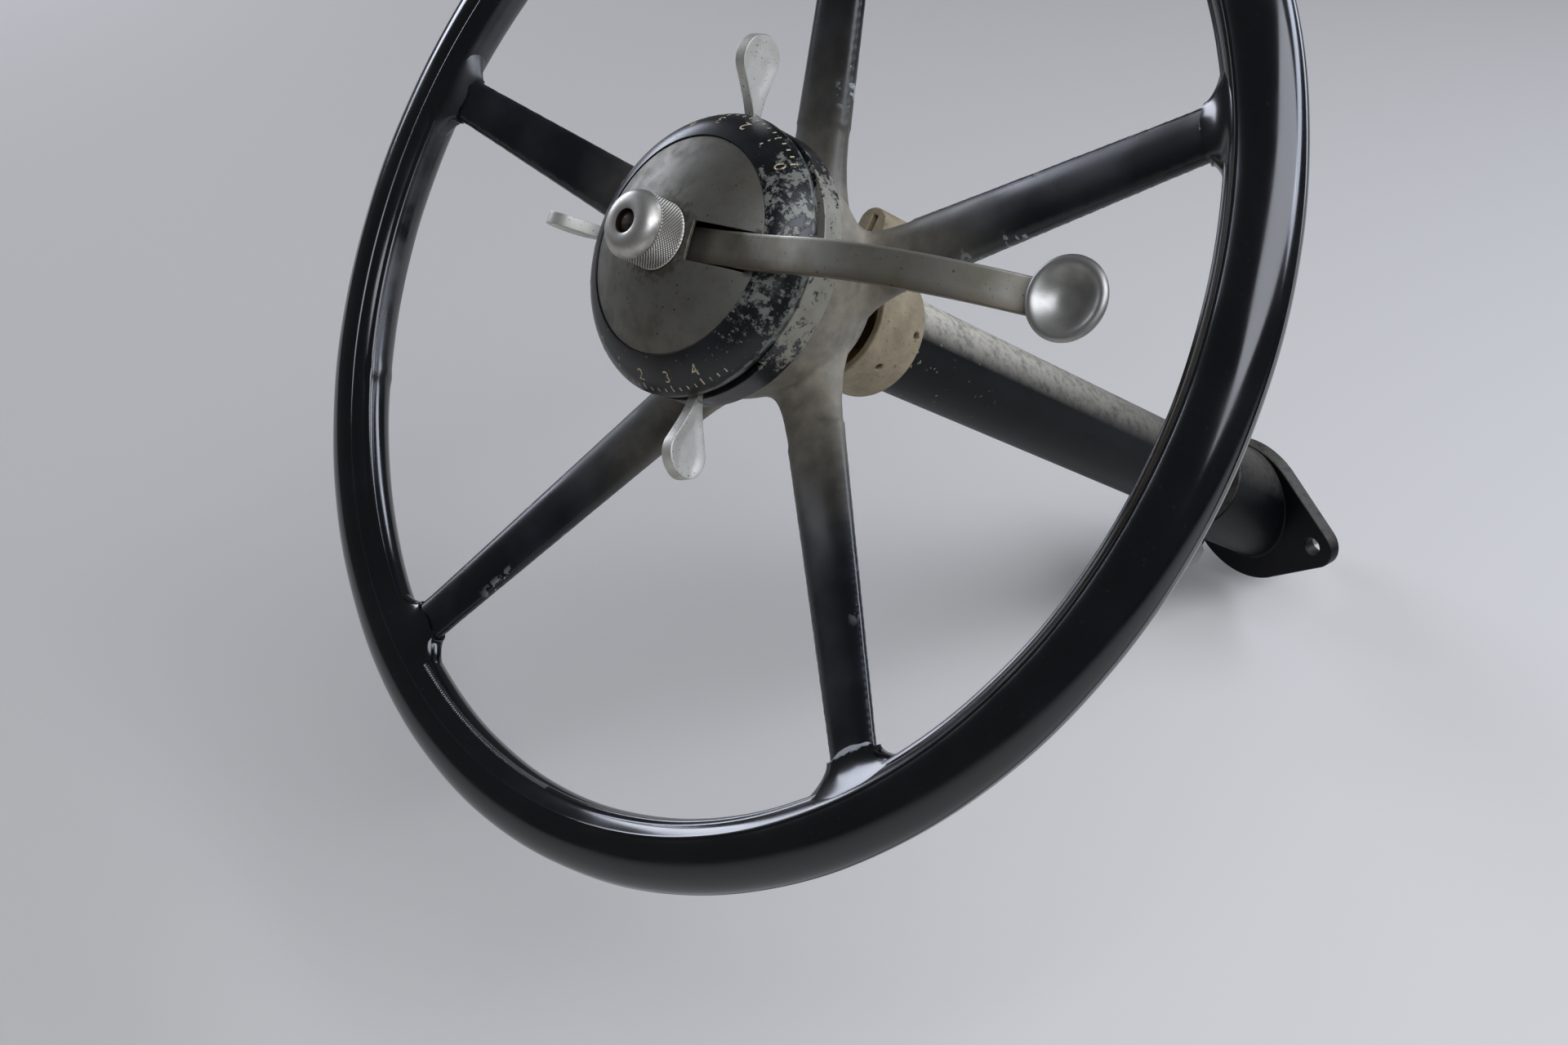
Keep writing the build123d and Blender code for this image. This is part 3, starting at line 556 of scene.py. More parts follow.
def between(table, at):
    """Reads a table of (place, value, ...) rows, between two rows where need be."""
    for low, high in zip(table, table[1:]):
        if at <= high[0]:
            share = (at - low[0]) / (high[0] - low[0])
            return [a + (b - a) * share for a, b in zip(low[1:], high[1:])]
    return list(table[-1][1:])


def spun(profile, steps=TURN_STEPS):
    """A closed profile of (radius, height) points turned about the upright axis."""
    bm = bmesh.new()
    verts = [bm.verts.new((radius, 0, height)) for radius, height in profile]
    edges = [bm.edges.new(pair) for pair in zip(verts, verts[1:] + verts[:1])]
    bmesh.ops.spin(
        bm, geom=verts + edges, axis=(0, 0, 1), cent=(0, 0, 0), angle=2 * pi, steps=steps, use_merge=True
    )
    bmesh.ops.remove_doubles(bm, verts=bm.verts, dist=1e-4)
    bmesh.ops.dissolve_degenerate(bm, edges=bm.edges, dist=1e-4)
    bmesh.ops.recalc_face_normals(bm, faces=bm.faces)
    return bm


def lofted(bm, rings):
    """Joins each ring of vertices to the next one with a band of faces."""
    loops = [{edge for vert in ring for edge in vert.link_edges} for ring in rings]
    for one, two in zip(loops, loops[1:]):
        bmesh.ops.bridge_loops(bm, edges=list(one | two))


def smoothed(bm, verts, rounds):
    """Moves each vertex half-way to the middle of its neighbours, so many times."""
    for _ in range(rounds):
        bmesh.ops.smooth_vert(
            bm, verts=verts, factor=0.5, use_axis_x=True, use_axis_y=True, use_axis_z=True
        )


def turn_to(bm, degrees, axis="Z"):
    """Turns a mesh about one of its own axes."""
    matrix = Matrix.Rotation(radians(degrees), 3, axis)
    bmesh.ops.rotate(bm, cent=(0, 0, 0), matrix=matrix, verts=bm.verts)


def soften(bm, width, segments=3, sharp=30):
    """Rounds every edge that is sharper than so many degrees."""
    edges = [e for e in bm.edges if len(e.link_faces) == 2 and e.calc_face_angle(0) > radians(sharp)]
    bmesh.ops.bevel(
        bm, geom=edges, offset=width, segments=segments, profile=0.5, affect="EDGES", material=-1
    )


print("turned pieces have", TURN_STEPS, "steps or their own number")

# %% [markdown]
# A solid that only needs softer edges is copied into the column's millimetres. A finished mesh
# goes the other way, takes its finish and rides on its body's empty, and the solids that it stands
# for are hidden.

# %% From the frame and back
SHARP_FROM = radians(40)


def cad_copy(node, flat):
    """A merged copy of a solid, in millimetres, without edges flatter than so many degrees."""
    bm = bmesh.new()
    bm.from_mesh(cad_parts[node].data)
    bmesh.ops.transform(bm, matrix=TO_ROW.inverted(), verts=bm.verts)
    bmesh.ops.remove_doubles(bm, verts=bm.verts, dist=1e-3)
    bmesh.ops.dissolve_limit(bm, angle_limit=radians(flat), verts=bm.verts, edges=bm.edges)
    return bm


def into_mesh(bm, name):
    """Ends the modelling of a mesh, which becomes data for an object."""
    mesh = bpy.data.meshes.new(name)
    bm.to_mesh(mesh)
    bm.free()
    return mesh


def as_mesh(thing):
    """The mesh that an object gives after its modifiers. The object itself is removed."""
    depsgraph = bpy.context.evaluated_depsgraph_get()
    mesh = bpy.data.meshes.new_from_object(thing.evaluated_get(depsgraph))
    bpy.data.objects.remove(thing)
    return mesh


def finished(bm, name, body, material, replaced=(), even=False):
    """Carries a mesh to the column, gives it its finish, sets it on its body and hides what it replaces.
    """
    bmesh.ops.transform(bm, matrix=TO_ROW, verts=bm.verts)
    mesh = into_mesh(bm, name)
    mesh.shade_smooth()
    mesh.set_sharp_from_angle(angle=SHARP_FROM)
    mesh.materials.append(material)
    piece = placed(name, mesh)
    if even:
        weighted = piece.modifiers.new("even faces", "WEIGHTED_NORMAL")
        weighted.keep_sharp = True
    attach(piece, body)
    if replaced:
        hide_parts(*replaced)
    mesh.calc_loop_triangles()
    print(f"{name}: {len(mesh.loop_triangles)} triangles")


print("shading splits from", round(SHARP_FROM * DEGREES), "degrees")

# %% [markdown]
# The rim's section is an oval. A moulding seam runs round its outside, a fine bead round its
# front, and the rubber stands a little proud on the inner side, from a ridge to a step at the
# back. That section is spun. Hand finishing leaves it slightly uneven, and waves of less than a
# tenth of a millimetre are enough to make the long highlights waver as they do on the real rim.
# On the inner side the rubber's ends meet in a lap, which is a little proud.

# %% Rim
RIM_R = 203.0
RIM_HALF_WIDE = 12.0
RIM_HALF_DEEP = 10.0
SECTION_POINTS = 144
RIM_STEPS = 600
SECTION_PROUD = (
    (0, 0.22),
    (3, 0.0),
    (115, 0.0),
    (117.5, 0.32),
    (120, 0.0),
    (147, 0.0),
    (151, 0.85),
    (156, 0.9),
    (160, 0.6),
    (229, 0.7),
    (234, 0.0),
    (357, 0.0),
    (360, 0.22),
)
RIM_WAVES = ((0.07, 7, 0.6), (0.05, 17, 2.0), (0.03, 31, 0.0))
LAP_AT = -146.0
LAP_HIGH = 0.45
LAP_HALF_WIDE = 0.9
INNER_SHARE = 0.8


def waves(table, turn):
    """The sum of waves round a turn, each given as a height, a count and a shift."""
    return sum(high * sin(count * turn + shift) for high, count, shift in table)


def rim_point(turn, section, proud=0.0):
    """A point of the rim: turn runs round the wheel and section round its oval, in radians."""
    radius = RIM_R + (RIM_HALF_WIDE + proud) * cos(section)
    return Vector((radius * cos(turn), radius * sin(turn), (RIM_HALF_DEEP + proud) * sin(section)))


profile = []
for i in range(SECTION_POINTS):
    section = 2 * pi * i / SECTION_POINTS
    point = rim_point(0, section, between(SECTION_PROUD, section * DEGREES)[0])
    profile.append((point.x, point.z))
rim = spun(profile, RIM_STEPS)
for vert in rim.verts:
    turn = atan2(vert.co.y, vert.co.x)
    wave = waves(RIM_WAVES, turn)
    if hypot(vert.co.x, vert.co.y) < RIM_R - RIM_HALF_WIDE * INNER_SHARE:
        wave += LAP_HIGH * exp(-(((turn * DEGREES - LAP_AT) / LAP_HALF_WIDE) ** 2))
    out = Vector((cos(turn), sin(turn), 0))
    vert.co += (vert.co - out * RIM_R).normalized() * wave
print("rim:", len(rim.verts), "vertices")

# %% [markdown]
# Round each spoke's foot the rubber runs out along the spoke like a fillet and ends in a thin,
# uneven lip, tucked in a little. Each flare is a loft. Every point of a ring lies on its own curve,
# which leaves the lip along the spoke and lands on the rim in the rim's own direction.

# %% Rubber flares at the spokes' feet
SPOKE_ROOT_R = 30.0
SPOKE_TIP_R = 198.0
SPOKE_ROOT_H = -31.0
SPOKE_TIP_H = 1.5
LIP_RADII = (184.6, 183.6, 184.0, 184.6, 182.2)
LIP_HALF = (9.9, 4.3)
LIP_BOXED = (0.66, 0.72)
LIP_WAVES = ((0.7, 3, 0.7), (0.4, 7, 0.0))
TUCK_SHARE = 0.75
TUCK_IN = 0.6
FLARE_SPREAD = radians(6.4)
FLARE_ROUND = radians(62)
FLARE_RINGS = 14
FLARE_LEAVES = 1.1
FLARE_LANDS = 9
RING_POINTS = 56
SPOKE_TURNS = [Matrix.Rotation(radians(SPOKE_START + i * 360 / SPOKES), 3, "Z") for i in range(SPOKES)]

run = Vector((SPOKE_TIP_R - SPOKE_ROOT_R, 0, SPOKE_TIP_H - SPOKE_ROOT_H)).normalized()
lift = Vector((-run.z, 0, run.x))


def squared(value, power):
    """A circle's coordinate pushed outwards, which makes the circle a rounded rectangle."""
    return copysign(abs(value) ** power, value)


def along_spoke(radius):
    """A point on the middle line of the spoke that points along x."""
    share = (radius - SPOKE_ROOT_R) / (SPOKE_TIP_R - SPOKE_ROOT_R)
    return Vector((radius, 0, SPOKE_ROOT_H + (SPOKE_TIP_H - SPOKE_ROOT_H) * share))


def flare_point(x, y, share, lip_r):
    """A point of the flare, so far along its curve, for a place (x, y) on the unit circle."""
    start = along_spoke(lip_r + waves(LIP_WAVES, atan2(y, x)))
    start += Vector((0, squared(x, LIP_BOXED[0]) * LIP_HALF[0], 0))
    start += lift * squared(y, LIP_BOXED[1]) * LIP_HALF[1]
    inset = 1 - 0.03 * share
    end = rim_point(FLARE_SPREAD * x * inset, pi - FLARE_ROUND * y * inset, 0.6 - 0.9 * share)
    nearer = rim_point(FLARE_SPREAD * x * 0.9, pi - FLARE_ROUND * y * 0.9, 0.0)
    landing = (end - nearer).normalized() * FLARE_LANDS
    leaving = run * (end.x - start.x) * FLARE_LEAVES
    s, s2, s3 = share, share * share, share**3
    return (
        start * (2 * s3 - 3 * s2 + 1)
        + leaving * (s3 - 2 * s2 + s)
        + end * (3 * s2 - 2 * s3)
        + landing * (s3 - s2)
    )


for spoke_turn, lip_r in zip(SPOKE_TURNS, LIP_RADII):
    rings = []
    for step in range(-1, FLARE_RINGS + 1):
        ended = step < 0 or step == FLARE_RINGS
        ring = bmesh.ops.create_circle(rim, segments=RING_POINTS, radius=1, cap_ends=ended)["verts"]
        for vert in ring:
            vert.co = flare_point(vert.co.x, vert.co.y, max(0, step) / FLARE_RINGS, lip_r)
            if step < 0:
                middle = along_spoke(vert.co.x)
                vert.co = middle + (vert.co - middle) * TUCK_SHARE + run * TUCK_IN
            vert.co = spoke_turn @ vert.co
        rings.append(ring)
    lofted(rim, rings)
bmesh.ops.recalc_face_normals(rim, faces=rim.faces)
finished(rim, "rim_dressed", "wheel", hard_rubber, ["rim"])

# %% [markdown]
# The spider is one casting: a boss and five dished spokes that widen where they meet the boss. Each
# spoke is a loft with a slightly crowned front and round edges. The boss and spokes then overlap as
# separate shells, and a voxel remesh makes them one skin. A few rounds of smoothing take its steps
# away, and more of them near the hub give a casting's fillets.

# %% Spider
SPOKE_SIZES = (
    (0.0, 34.0, 18.0),
    (0.05, 29.0, 14.0),
    (0.11, 26.0, 11.4),
    (0.20, 24.2, 9.8),
    (0.45, 22.0, 8.4),
    (0.88, 18.4, 6.6),
    (1.0, 18.4, 7.4),
)
SPOKE_BOXED = (0.7, 0.85)
SPOKE_RINGS = 44
BOSS = ((11.1, -2), (40.5, -2), (43, -4.5), (43, -16), (35, -34), (27, -46), (11.1, -46))
VOXEL = 1.1 * MM
CASTING_ROUNDS = 6
FILLETS_WITHIN = 62
FILLET_ROUNDS = 24

bm = spun(BOSS, 128)
for spoke_turn in SPOKE_TURNS:
    rings = []
    for step in range(SPOKE_RINGS + 1):
        share = step / SPOKE_RINGS
        wide, deep = between(SPOKE_SIZES, share)
        middle = along_spoke(SPOKE_ROOT_R + share * (SPOKE_TIP_R - SPOKE_ROOT_R))
        ended = step in (0, SPOKE_RINGS)
        ring = bmesh.ops.create_circle(bm, segments=RING_POINTS, radius=1, cap_ends=ended)["verts"]
        for vert in ring:
            flat = Vector((0, squared(vert.co.x, SPOKE_BOXED[0]) * wide / 2, 0))
            up = lift * squared(vert.co.y, SPOKE_BOXED[1]) * deep / 2
            vert.co = spoke_turn @ (middle + flat + up)
        rings.append(ring)
    lofted(bm, rings)
bmesh.ops.recalc_face_normals(bm, faces=bm.faces)
bmesh.ops.transform(bm, matrix=TO_ROW, verts=bm.verts)
rough = placed("spider_rough", into_mesh(bm, "spider_rough"))
remesh = rough.modifiers.new("one skin", "REMESH")
remesh.mode = "VOXEL"
remesh.voxel_size = VOXEL
bm = bmesh.new()
bm.from_mesh(as_mesh(rough))
bmesh.ops.transform(bm, matrix=TO_ROW.inverted(), verts=bm.verts)
smoothed(bm, bm.verts, CASTING_ROUNDS)
smoothed(bm, [v for v in bm.verts if hypot(v.co.x, v.co.y) < FILLETS_WITHIN], FILLET_ROUNDS)
finished(bm, "spider_casting", "wheel", spoke_enamel, ["spider"])

# %% [markdown]
# The bezel is spun sheet with a domed flank and a rolled lip. Its profile is drawn with the same
# sizes as its solid, only finer, and its two sharp edges are rounded. The post in its middle
# carries the root of the long lever.

# %% Bezel
BEZEL_BACK_R = 49.5
HEAD_TALL = 14.0
BEZEL_FRONT = 28.4
BEZEL_SEAT = 24.0
BEZEL_HOLE_R = 38.65
LEVER_POST_R = 6.0
LEVER_FLOOR = 28.6
DOME_START = (50.5, 17.0)
DOME_MIDDLE = (46.7, 23.2)

dome = arc(DOME_START, DOME_MIDDLE, (BEZEL_HOLE_R, BEZEL_FRONT), 24)
post = [(LEVER_POST_R, BEZEL_SEAT), (LEVER_POST_R, LEVER_FLOOR), (0, LEVER_FLOOR)]
back = [(0, HEAD_TALL), (BEZEL_BACK_R, HEAD_TALL)]
bm = spun(back + dome + [(BEZEL_HOLE_R, BEZEL_SEAT)] + post, 256)
soften(bm, 0.35)
finished(bm, "bezel_dressed", "column", bezel_enamel, ["head_bezel"], even=True)

# %% [markdown]
# The knob is knurled: a roller pressed a net of fine diamonds into its side. A spun grid becomes
# that net when every other vertex is pushed in, like a chessboard, and each square is split along
# the line of its two pushed-in corners. The real net is near a millimetre, and it is drawn at
# 1.25 mm so that it shows.

# %% Knob
KNOB_SEAT = 37.4
KNOB_TOP = 54.2
KNOB_HOLE_R = 4.1
KNURL_COLUMNS = 120
KNURL_LOW = 38.4
KNURL_STEP = 0.6
KNURL_ROWS = 16
KNURL_DEEP = 0.5
GROOVE_R = KNOB_R - 0.4
HOLE_FLOOR = KNOB_TOP - 4.5
CAP_TURN = (8.3, KNOB_TOP - 0.25)

knurl_rows = [(KNOB_R, KNURL_LOW + KNURL_STEP * row) for row in range(KNURL_ROWS + 1)]
cap = arc((KNOB_R + 0.1, KNOB_SHOULDER), (11.0, KNOB_TOP - 2.0), CAP_TURN, 14)
cap += arc(CAP_TURN, (6.4, KNOB_TOP), (KNOB_HOLE_R + 0.4, KNOB_TOP - 0.15), 6)[1:]
profile = [(0, KNOB_SEAT), (KNOB_R - 0.5, KNOB_SEAT), (KNOB_R, KNOB_SEAT + 0.5)] + knurl_rows
profile += [(GROOVE_R, KNOB_SHOULDER - 0.7), (GROOVE_R, KNOB_SHOULDER - 0.3)] + cap
profile += [(KNOB_HOLE_R, KNOB_TOP - 0.4), (KNOB_HOLE_R, HOLE_FLOOR), (0, HOLE_FLOOR)]
bm = spun(profile, KNURL_COLUMNS)
pushed_in = set()
on_net = set()
for vert in bm.verts:
    row = (vert.co.z - KNURL_LOW) / KNURL_STEP
    if -0.01 < row < KNURL_ROWS + 0.01 and hypot(vert.co.x, vert.co.y) > KNOB_R - 0.05:
        on_net.add(vert)
        column = round(atan2(vert.co.y, vert.co.x) / (2 * pi) * KNURL_COLUMNS)
        if (round(row) + column) % 2:
            pushed_in.add(vert)
for face in bm.faces[:]:
    corners = [v for v in face.verts if v in pushed_in]
    if len(face.verts) == 4 and all(v in on_net for v in face.verts) and len(corners) == 2:
        bmesh.utils.face_split(face, *corners)
for vert in pushed_in:
    vert.co.xy *= (KNOB_R - KNURL_DEEP) / KNOB_R
finished(bm, "knob_knurled", "column", knob_nickel, ["knob"])

# %% [markdown]
# A small dark plug closes the knob's hole. Its crown comes up almost to the knob's top, so that
# it catches a little light.

# %% Knob plug
PLUG_R = 3.95
PLUG_BACK = HOLE_FLOOR + 0.05
PLUG_EDGE = KNOB_TOP - 2.0

plug = [(0, PLUG_BACK), (PLUG_R, PLUG_BACK)]
plug += arc((PLUG_R, PLUG_EDGE), (PLUG_R * 0.6, KNOB_TOP - 1.15), (0, KNOB_TOP - 0.9), 12)
bm = spun(plug, 64)
finished(bm, "plug_domed", "column", plug_black, ["knob_plug"])

# %% [markdown]
# The long lever is a flat bar, bent so that it rises over the bezel, falls past it and levels out
# under its cup. Each bend is an arc that starts in the direction in which the last one ended.

# %% Long lever
LEVER_TOP = 31.2
LEVER_WIDE = 12.3
LEVER_TIP_WIDE = 11.6
LEVER_THICK = 2.6
LEVER_FLAT_R = 30.0
LEVER_BENDS = ((54.0, 2.2, 16), (138.0, -11.6, 44), (150.0, -15.6, 12))
LEVER_PAD_LONG = 11.5
ACROSS_STEPS = 8
LEAST_HALF = 0.3


def bend(start, heading, end, count):
    """An arc's points after its start, and the heading at its end, both in (radius, height)."""
    chord = end - start
    half = heading.angle_signed(chord)
    points = []
    for i in range(1, count + 1):
        share = i / count
        long = chord.length * sin(half * share) / sin(half)
        direction = Matrix.Rotation(-half * share, 2) @ heading
        points.append(start + direction * long)
    return points, Matrix.Rotation(-2 * half, 2) @ heading


root_half = LEVER_WIDE / 2
line = [Vector((-root_half * cos(pi / 2 * i / 10), LEVER_TOP)) for i in range(11)]
line += [Vector((LEVER_FLAT_R, LEVER_TOP))]
heading = Vector((1, 0))
for radius, rise, count in LEVER_BENDS:
    points, heading = bend(line[-1], heading, Vector((radius, LEVER_TOP + rise)), count)
    line += points
pad_start = line[-1]
tip_half = LEVER_TIP_WIDE / 2
tip = pad_start + heading * LEVER_PAD_LONG
line += [pad_start + heading * LEVER_PAD_LONG * 0.4]
line += [tip - heading * tip_half * (1 - sin(pi / 2 * i / 12)) for i in range(13)]
pad_slope = atan2(heading.y, heading.x) * DEGREES
print("the pad slopes", round(pad_slope, 1), "degrees")

bm = bmesh.new()
spine = [bm.verts.new((p.x, -1, p.y)) for p in line]
edges = [bm.edges.new(pair) for pair in zip(spine, spine[1:])]
for _ in range(ACROSS_STEPS):
    made = bmesh.ops.extrude_edge_only(bm, edges=edges)["geom"]
    edges = [g for g in made if isinstance(g, bmesh.types.BMEdge)]
    bmesh.ops.translate(
        bm, vec=(0, 2 / ACROSS_STEPS, 0), verts=[g for g in made if isinstance(g, bmesh.types.BMVert)]
    )
round_r = tip.x - tip_half
for vert in bm.verts:
    share = max(0, (vert.co.x - LEVER_FLAT_R) / (round_r - LEVER_FLAT_R))
    half = (LEVER_WIDE + (LEVER_TIP_WIDE - LEVER_WIDE) * min(1, share)) / 2
    if vert.co.x > round_r:
        half = max(LEAST_HALF, sqrt(max(0, tip_half**2 - (vert.co.x - round_r) ** 2)))
    if vert.co.x < 0:
        half = max(LEAST_HALF, sqrt(max(0, root_half**2 - vert.co.x**2)))
    vert.co.y *= half
bmesh.ops.recalc_face_normals(bm, faces=bm.faces)
if bm.faces[0].normal.z < 0:
    bmesh.ops.reverse_faces(bm, faces=bm.faces)
bmesh.ops.solidify(bm, geom=bm.faces[:], thickness=LEVER_THICK)
soften(bm, 0.45, sharp=50)
turn_to(bm, LEVER_ANGLE)
finished(bm, "long_lever_bar", "column", lever_nickel, ["long_lever"], even=True)

# %% [markdown]
# The cup is a shallow bowl with a broad soft lip, turned on a lathe and riveted to the lever's
# end, square to it. Its inside has no edge: a cosine wave carries the lip down to the floor. It is
# spun upright and then tipped to the lever's slope.

# %% Cup
CUP_SEAT_ALONG = 5.6
CUP_R = 13.3
CUP_FOOT_R = 5.0
CUP_TALL = 7.0
CUP_FLOOR = 1.8
CUP_LIP = 3.4
CUP_BOWL = 1.7

lip_low = CUP_TALL - CUP_LIP / 2
crest_r = CUP_R - CUP_LIP / 2
outside = arc((CUP_FOOT_R, 0), (CUP_R * 0.80, CUP_TALL * 0.33), (CUP_R, lip_low), 20)
off = CUP_LIP * 0.146
lip = arc((CUP_R, lip_low), (CUP_R - off, CUP_TALL - off), (crest_r, CUP_TALL), 8)
inside = []
for i in range(1, 25):
    share = 1 - i / 24
    rise = 0.5 - 0.5 * cos(pi * share**CUP_BOWL)
    inside.append((crest_r * share, CUP_FLOOR + (CUP_TALL - CUP_FLOOR) * rise))
bm = spun([(0, 0)] + outside + lip[1:] + inside, 96)
turn_to(bm, -pad_slope, "Y")
seat = pad_start + heading * CUP_SEAT_ALONG
bmesh.ops.translate(bm, vec=(seat.x, 0, seat.y), verts=bm.verts)
turn_to(bm, LEVER_ANGLE)
finished(bm, "cup_turned", "column", cup_nickel, ["lever_cup"])

# %% [markdown]
# Each hand lever ends in a spoon that stands on edge: slim at the neck, round at the tip, with a
# shallow dish pressed into each flat face, which leaves a thin bright rim. A fine grid is shaped
# into that outline and given its thickness, and its faces are pressed in by their distance from
# the edge. Inside the drum it has a crank and a ring that turns on the core.

# %% Hand levers
SPOON_START_R = 50.6
SPOON_LONG = 28.5
SPOON_R = 8.6
SPOON_NECK = 3.8
SPOON_FLARE = 115.0
FLARE_FROM = 0.8
HAND_THICK = 4.4
DISH_DEEP = 0.45
DISH_RIM = 0.6
DISH_FLANK = 4.6
DISH_FROM = 5.0
DISH_FADE = 6.0
NECK_H = 12.4
NECK_TALL = 2.6
RING_R = 36.08
RING_WIDE = 5.0
RING_THICK = 2.8
CRANK_END_R = 43.5
CRANK_DEEP = 2.1
INTO_SPOON = 1.2
RING_TAB_HALF = 3.5
HAND_LEVERS = (
    ("throttle", 103.0, 17.5, 9.4),
    ("choke", -60.5, 9.0, 6.2),
    ("spark", 191.3, 16.0, 3.0),
)
EYE = SPOON_LONG - SPOON_R
TOUCH_X = EYE + SPOON_R * cos(radians(SPOON_FLARE))
TOUCH_Y = SPOON_R * sin(radians(SPOON_FLARE))
FLARE_WIDE = TOUCH_Y - SPOON_NECK / 2
FLARE_POWER = (TOUCH_X - FLARE_FROM) / FLARE_WIDE / tan(radians(180 - SPOON_FLARE))


def half_wide(along):
    """Half the spoon's width at a distance from its neck."""
    if along >= TOUCH_X:
        return sqrt(max(0.0, SPOON_R**2 - (along - EYE) ** 2))
    share = max(0.0, along - FLARE_FROM) / (TOUCH_X - FLARE_FROM)
    return SPOON_NECK / 2 + FLARE_WIDE * share**FLARE_POWER


def bar(bm, low, high):
    """A plain bar between two corners."""
    low, high = Vector(low), Vector(high)
    made = bmesh.ops.create_cube(bm, size=1)["verts"]
    bmesh.ops.scale(bm, vec=high - low, verts=made)
    bmesh.ops.translate(bm, vec=(low + high) / 2, verts=made)


for name, angle, lean, ring_h in HAND_LEVERS:
    bm = bmesh.new()
    bmesh.ops.create_grid(bm, x_segments=56, y_segments=24, size=1)
    for vert in bm.verts:
        along = SPOON_LONG * sin(pi / 4 * (vert.co.x + 1))
        wide = max(0.05, half_wide(along))
        vert.co = (along, vert.co.y * wide, 0)
    bmesh.ops.recalc_face_normals(bm, faces=bm.faces)
    bmesh.ops.solidify(bm, geom=bm.faces[:], thickness=HAND_THICK)
    bmesh.ops.recalc_face_normals(bm, faces=bm.faces)
    middle = sum(v.co.z for v in bm.verts) / len(bm.verts)
    bmesh.ops.translate(bm, vec=(0, 0, -middle), verts=bm.verts)
    for vert in bm.verts:
        wide = half_wide(vert.co.x)
        from_edge = min(wide - abs(vert.co.y), SPOON_LONG - vert.co.x)
        from_neck = min(1, max(0, (vert.co.x - DISH_FROM) / DISH_FADE))
        pressed = min(1, max(0, (from_edge - DISH_RIM) / DISH_FLANK))
        dish = DISH_DEEP * pressed * pressed * (3 - 2 * pressed) * from_neck
        vert.co.z -= copysign(dish, vert.co.z)
    soften(bm, 0.35, segments=2, sharp=60)
    turn_to(bm, 90, "X")
    turn_to(bm, -lean, "Y")
    bmesh.ops.translate(bm, vec=(SPOON_START_R, 0, NECK_H), verts=bm.verts)
    half = HAND_THICK / 2
    crank_r, top = CRANK_END_R - CRANK_DEEP, NECK_H + NECK_TALL / 2
    bar(bm, (crank_r, -half, top - NECK_TALL), (SPOON_START_R + INTO_SPOON, half, top))
    bar(bm, (crank_r, -half, ring_h), (CRANK_END_R, half, top))
    far, top = RING_R + RING_WIDE, ring_h + RING_THICK
    bar(bm, (RING_R + 1, -RING_TAB_HALF, ring_h), (CRANK_END_R, RING_TAB_HALF, top))
    ring = spun([(RING_R, ring_h), (far, ring_h), (far, top), (RING_R, top)], 96)
    ring_mesh = into_mesh(ring, "ring")
    bm.from_mesh(ring_mesh)
    bpy.data.meshes.remove(ring_mesh)
    turn_to(bm, angle)
    finished(bm, name + "_spoon", name, hand_nickel, [name + "_lever"], even=True)

# %% [markdown]
# Six pieces keep their solids' shapes. A copy of each is merged and its sharp edges are rounded,
# because a real edge is never perfectly sharp and catches a line of light. The collar's pressed
# edge is soft, and the flange is a casting whose edges are rounder still. Their copies lose their
# flattest edges first, where the solids' triangles are slivers.

# %% Drum, face disc, collar, flange and pinch bolt
for node, name, flat, width, material, slot in (
    ("head_base", "drum_dressed", 0.5, 0.4, drum_enamel, "black_enamel"),
    ("face_disc", "disc_dressed", 0.5, 0.22, dull_nickel, "nickel"),
    ("column_collar", "collar_dressed", 2.0, 0.7, collar_paint, "collar_paint"),
    ("bulkhead_flange", "flange_dressed", 2.0, 1.0, column_enamel, "column_enamel"),
    ("clamp_bolt", "bolt_dressed", 2.0, 0.35, turned_steel, "steel"),
    ("clamp_nut", "nut_dressed", 2.0, 0.35, turned_steel, "steel"),
):
    bm = cad_copy(node, flat)
    soften(bm, width)
    finished(bm, name, "column", material, [node], even=True)

# %% [markdown]
# The jacket, the shaft, the fixed tube and the bushes are right as they are, and only take a
# finish.

# %% Solids that stay
KEPT = {
    "column_jacket": column_enamel,
    "steering_shaft": turned_steel,
    "stator_tube": turned_steel,
    "upper_bush": bearing_bronze,
    "lower_bush": bearing_bronze,
}
for node, material in KEPT.items():
    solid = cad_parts[node]
    solid.data.materials.clear()
    solid.data.materials.append(material)
print("solids kept:", ", ".join(KEPT))

# %% [markdown]
# The bezel is marked like a dial, with a scale of ticks and numbers beside each hand lever, in a
# cream paint that has worn thin. Flat letters would cut into the dome, so each vertex is wrapped
# onto it: its sideways place becomes an angle and its upward place a distance along the dome.

# %% Dial marks
DOME_LONG = sum(hypot(b[0] - a[0], b[1] - a[1]) for a, b in zip(dome, dome[1:]))
SCALES = ((-112, -34), (58, 122), (168, 216))
TICKS_APART = 4
NUMBER_EVERY = 4
TICK_FROM = 3.0
TICK_WIDE = 0.6
TICK_LONG = 1.5
LONG_TICK = 2.6
NUMBER_FROM = 7.0
NUMBER_SIZE = 6.2
MARK_PROUD = 0.05
MARK_THICK = 0.04

dial_cream, tree = new_finish("dial_cream", IOR=1.5, Roughness=0.6)
worn = patches(tree, column_place(tree), 1.6, 4, 0.5, 0.66)
vary(tree, Base_Color=add_node(tree, "Mix", worn, "#B8AC8C", "#4A463A", data_type="RGBA"))


def on_dome(sideways, along, degrees):
    """Place on the dome: along runs from its outer edge to its front edge, in millimetres."""
    share = min(0.999, max(0, along / DOME_LONG)) * (len(dome) - 1)
    low = int(share)
    one, two = Vector(dome[low]), Vector(dome[low + 1])
    out = Vector((two.y - one.y, one.x - two.x)).normalized()
    radius, height = one.lerp(two, share - low) + out * MARK_PROUD
    turn = radians(degrees) + sideways / radius
    return radius * cos(turn), radius * sin(turn), height


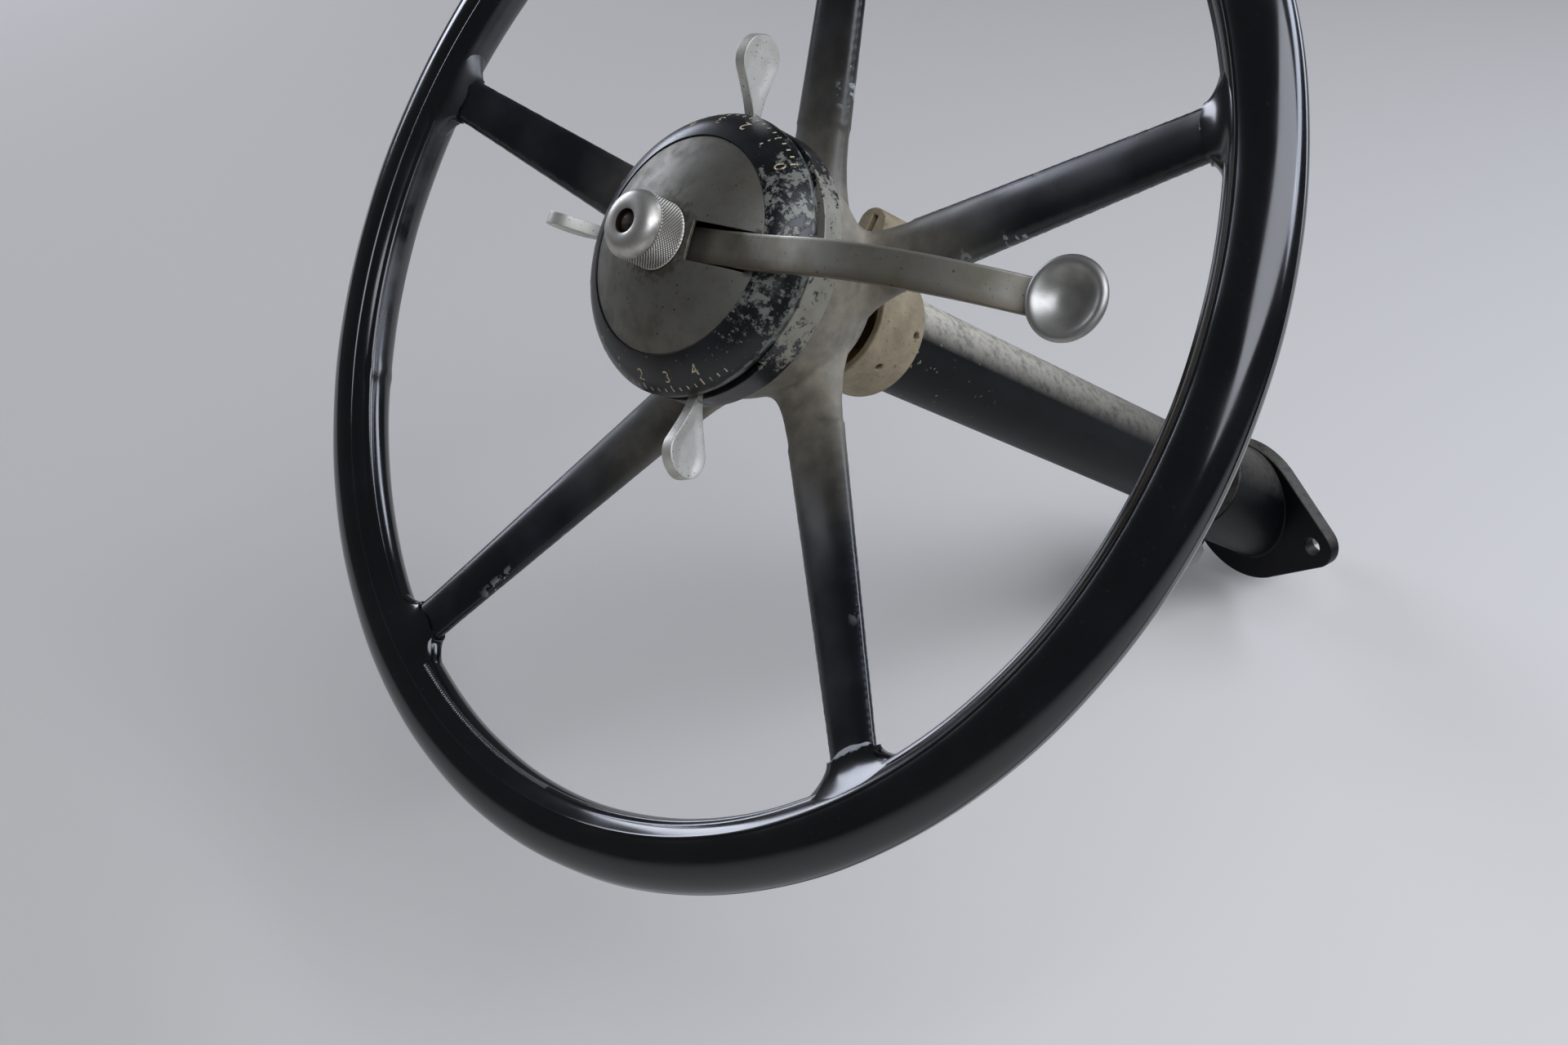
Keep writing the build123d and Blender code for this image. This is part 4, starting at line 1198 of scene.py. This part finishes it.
marks = bmesh.new()
for start, end in SCALES:
    for count, degrees in enumerate(range(start, end + 1, TICKS_APART)):
        number, short = divmod(count, NUMBER_EVERY)
        long = TICK_LONG if short else LONG_TICK
        for vert in bmesh.ops.create_grid(marks, x_segments=1, y_segments=4, size=0.5)["verts"]:
            along = TICK_FROM + (vert.co.y + 0.5) * long
            vert.co = on_dome(vert.co.x * TICK_WIDE, along, degrees)
        if short:
            continue
        text = bpy.data.curves.new("number", "FONT")
        text.body = str(number)
        text.size = NUMBER_SIZE
        text.align_x = "CENTER"
        text.resolution_u = 3
        flat = as_mesh(placed("number", text))
        before = set(marks.verts)
        marks.from_mesh(flat)
        bpy.data.meshes.remove(flat)
        for vert in set(marks.verts) - before:
            vert.co = on_dome(vert.co.x, NUMBER_FROM + vert.co.y, degrees)
bmesh.ops.solidify(marks, geom=marks.faces[:], thickness=-MARK_THICK)
bmesh.ops.recalc_face_normals(marks, faces=marks.faces)
finished(marks, "dial_marks", "column", dial_cream)

# %% [markdown]
# The studio is plain: a wide pale floor, a weak world light, and three soft lamps where a car's
# windscreen and side windows would be. A glossy black rim shows little but reflections, so the
# lamps' places and sizes decide its highlights, and it stays black where it mirrors no lamp.

# %% Floor, light and world
FLOOR_Z = -0.048
FLOOR_HALF = 40
WORLD_STRENGTH = 0.11
LAMPS = (
    ("right_window", (0.95, -0.30, 1.42), (1.9, 1.0), 26, "#EEF3FF"),
    ("windscreen", (0.70, 0.90, 1.02), (1.8, 0.35), 14, "#E2EBFF"),
    ("left_window", (-2.30, -0.35, 0.78), (1.5, 0.55), 20, "#E8EEFF"),
)

floor_finish, _ = new_finish("studio_floor", Base_Color="#D0CDC7", Roughness=0.85)
bm = bmesh.new()
bmesh.ops.create_grid(bm, x_segments=2, y_segments=2, size=FLOOR_HALF)
bmesh.ops.translate(bm, vec=(0, 0, FLOOR_Z), verts=bm.verts)
floor = placed("floor", into_mesh(bm, "floor"))
floor.data.materials.append(floor_finish)
floor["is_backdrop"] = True

world = bpy.data.worlds.new("studio")
bpy.context.scene.world = world
world.use_nodes = True
background = world.node_tree.nodes["Background"]
background.inputs["Color"].default_value = linear("#E6E8EC")
background.inputs["Strength"].default_value = WORLD_STRENGTH

for name, at, size, power, tint in LAMPS:
    lamp = bpy.data.lights.new(name, "AREA")
    lamp.shape = "RECTANGLE"
    lamp.size, lamp.size_y = size
    lamp.energy = power
    lamp.color = linear(tint)[:3]
    aimed(name, lamp, Vector(at), HUB)
print("floor", 2 * FLOOR_HALF, "m wide, lamps:", len(LAMPS))
bpy.context.scene.view_settings.view_transform = "Standard"

# %% [markdown]
# Last, the sizes of the solids and of the dressed model are written side by side, so that any
# piece that sticks out of the solids' box shows at once.

# %% Sizes and finish
bpy.context.view_layer.update()
visual_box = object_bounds()
for name, box in (("solids", cad_box), ("dressed", visual_box)):
    print(name, [[round(c, 4) for c in corner] for corner in box])
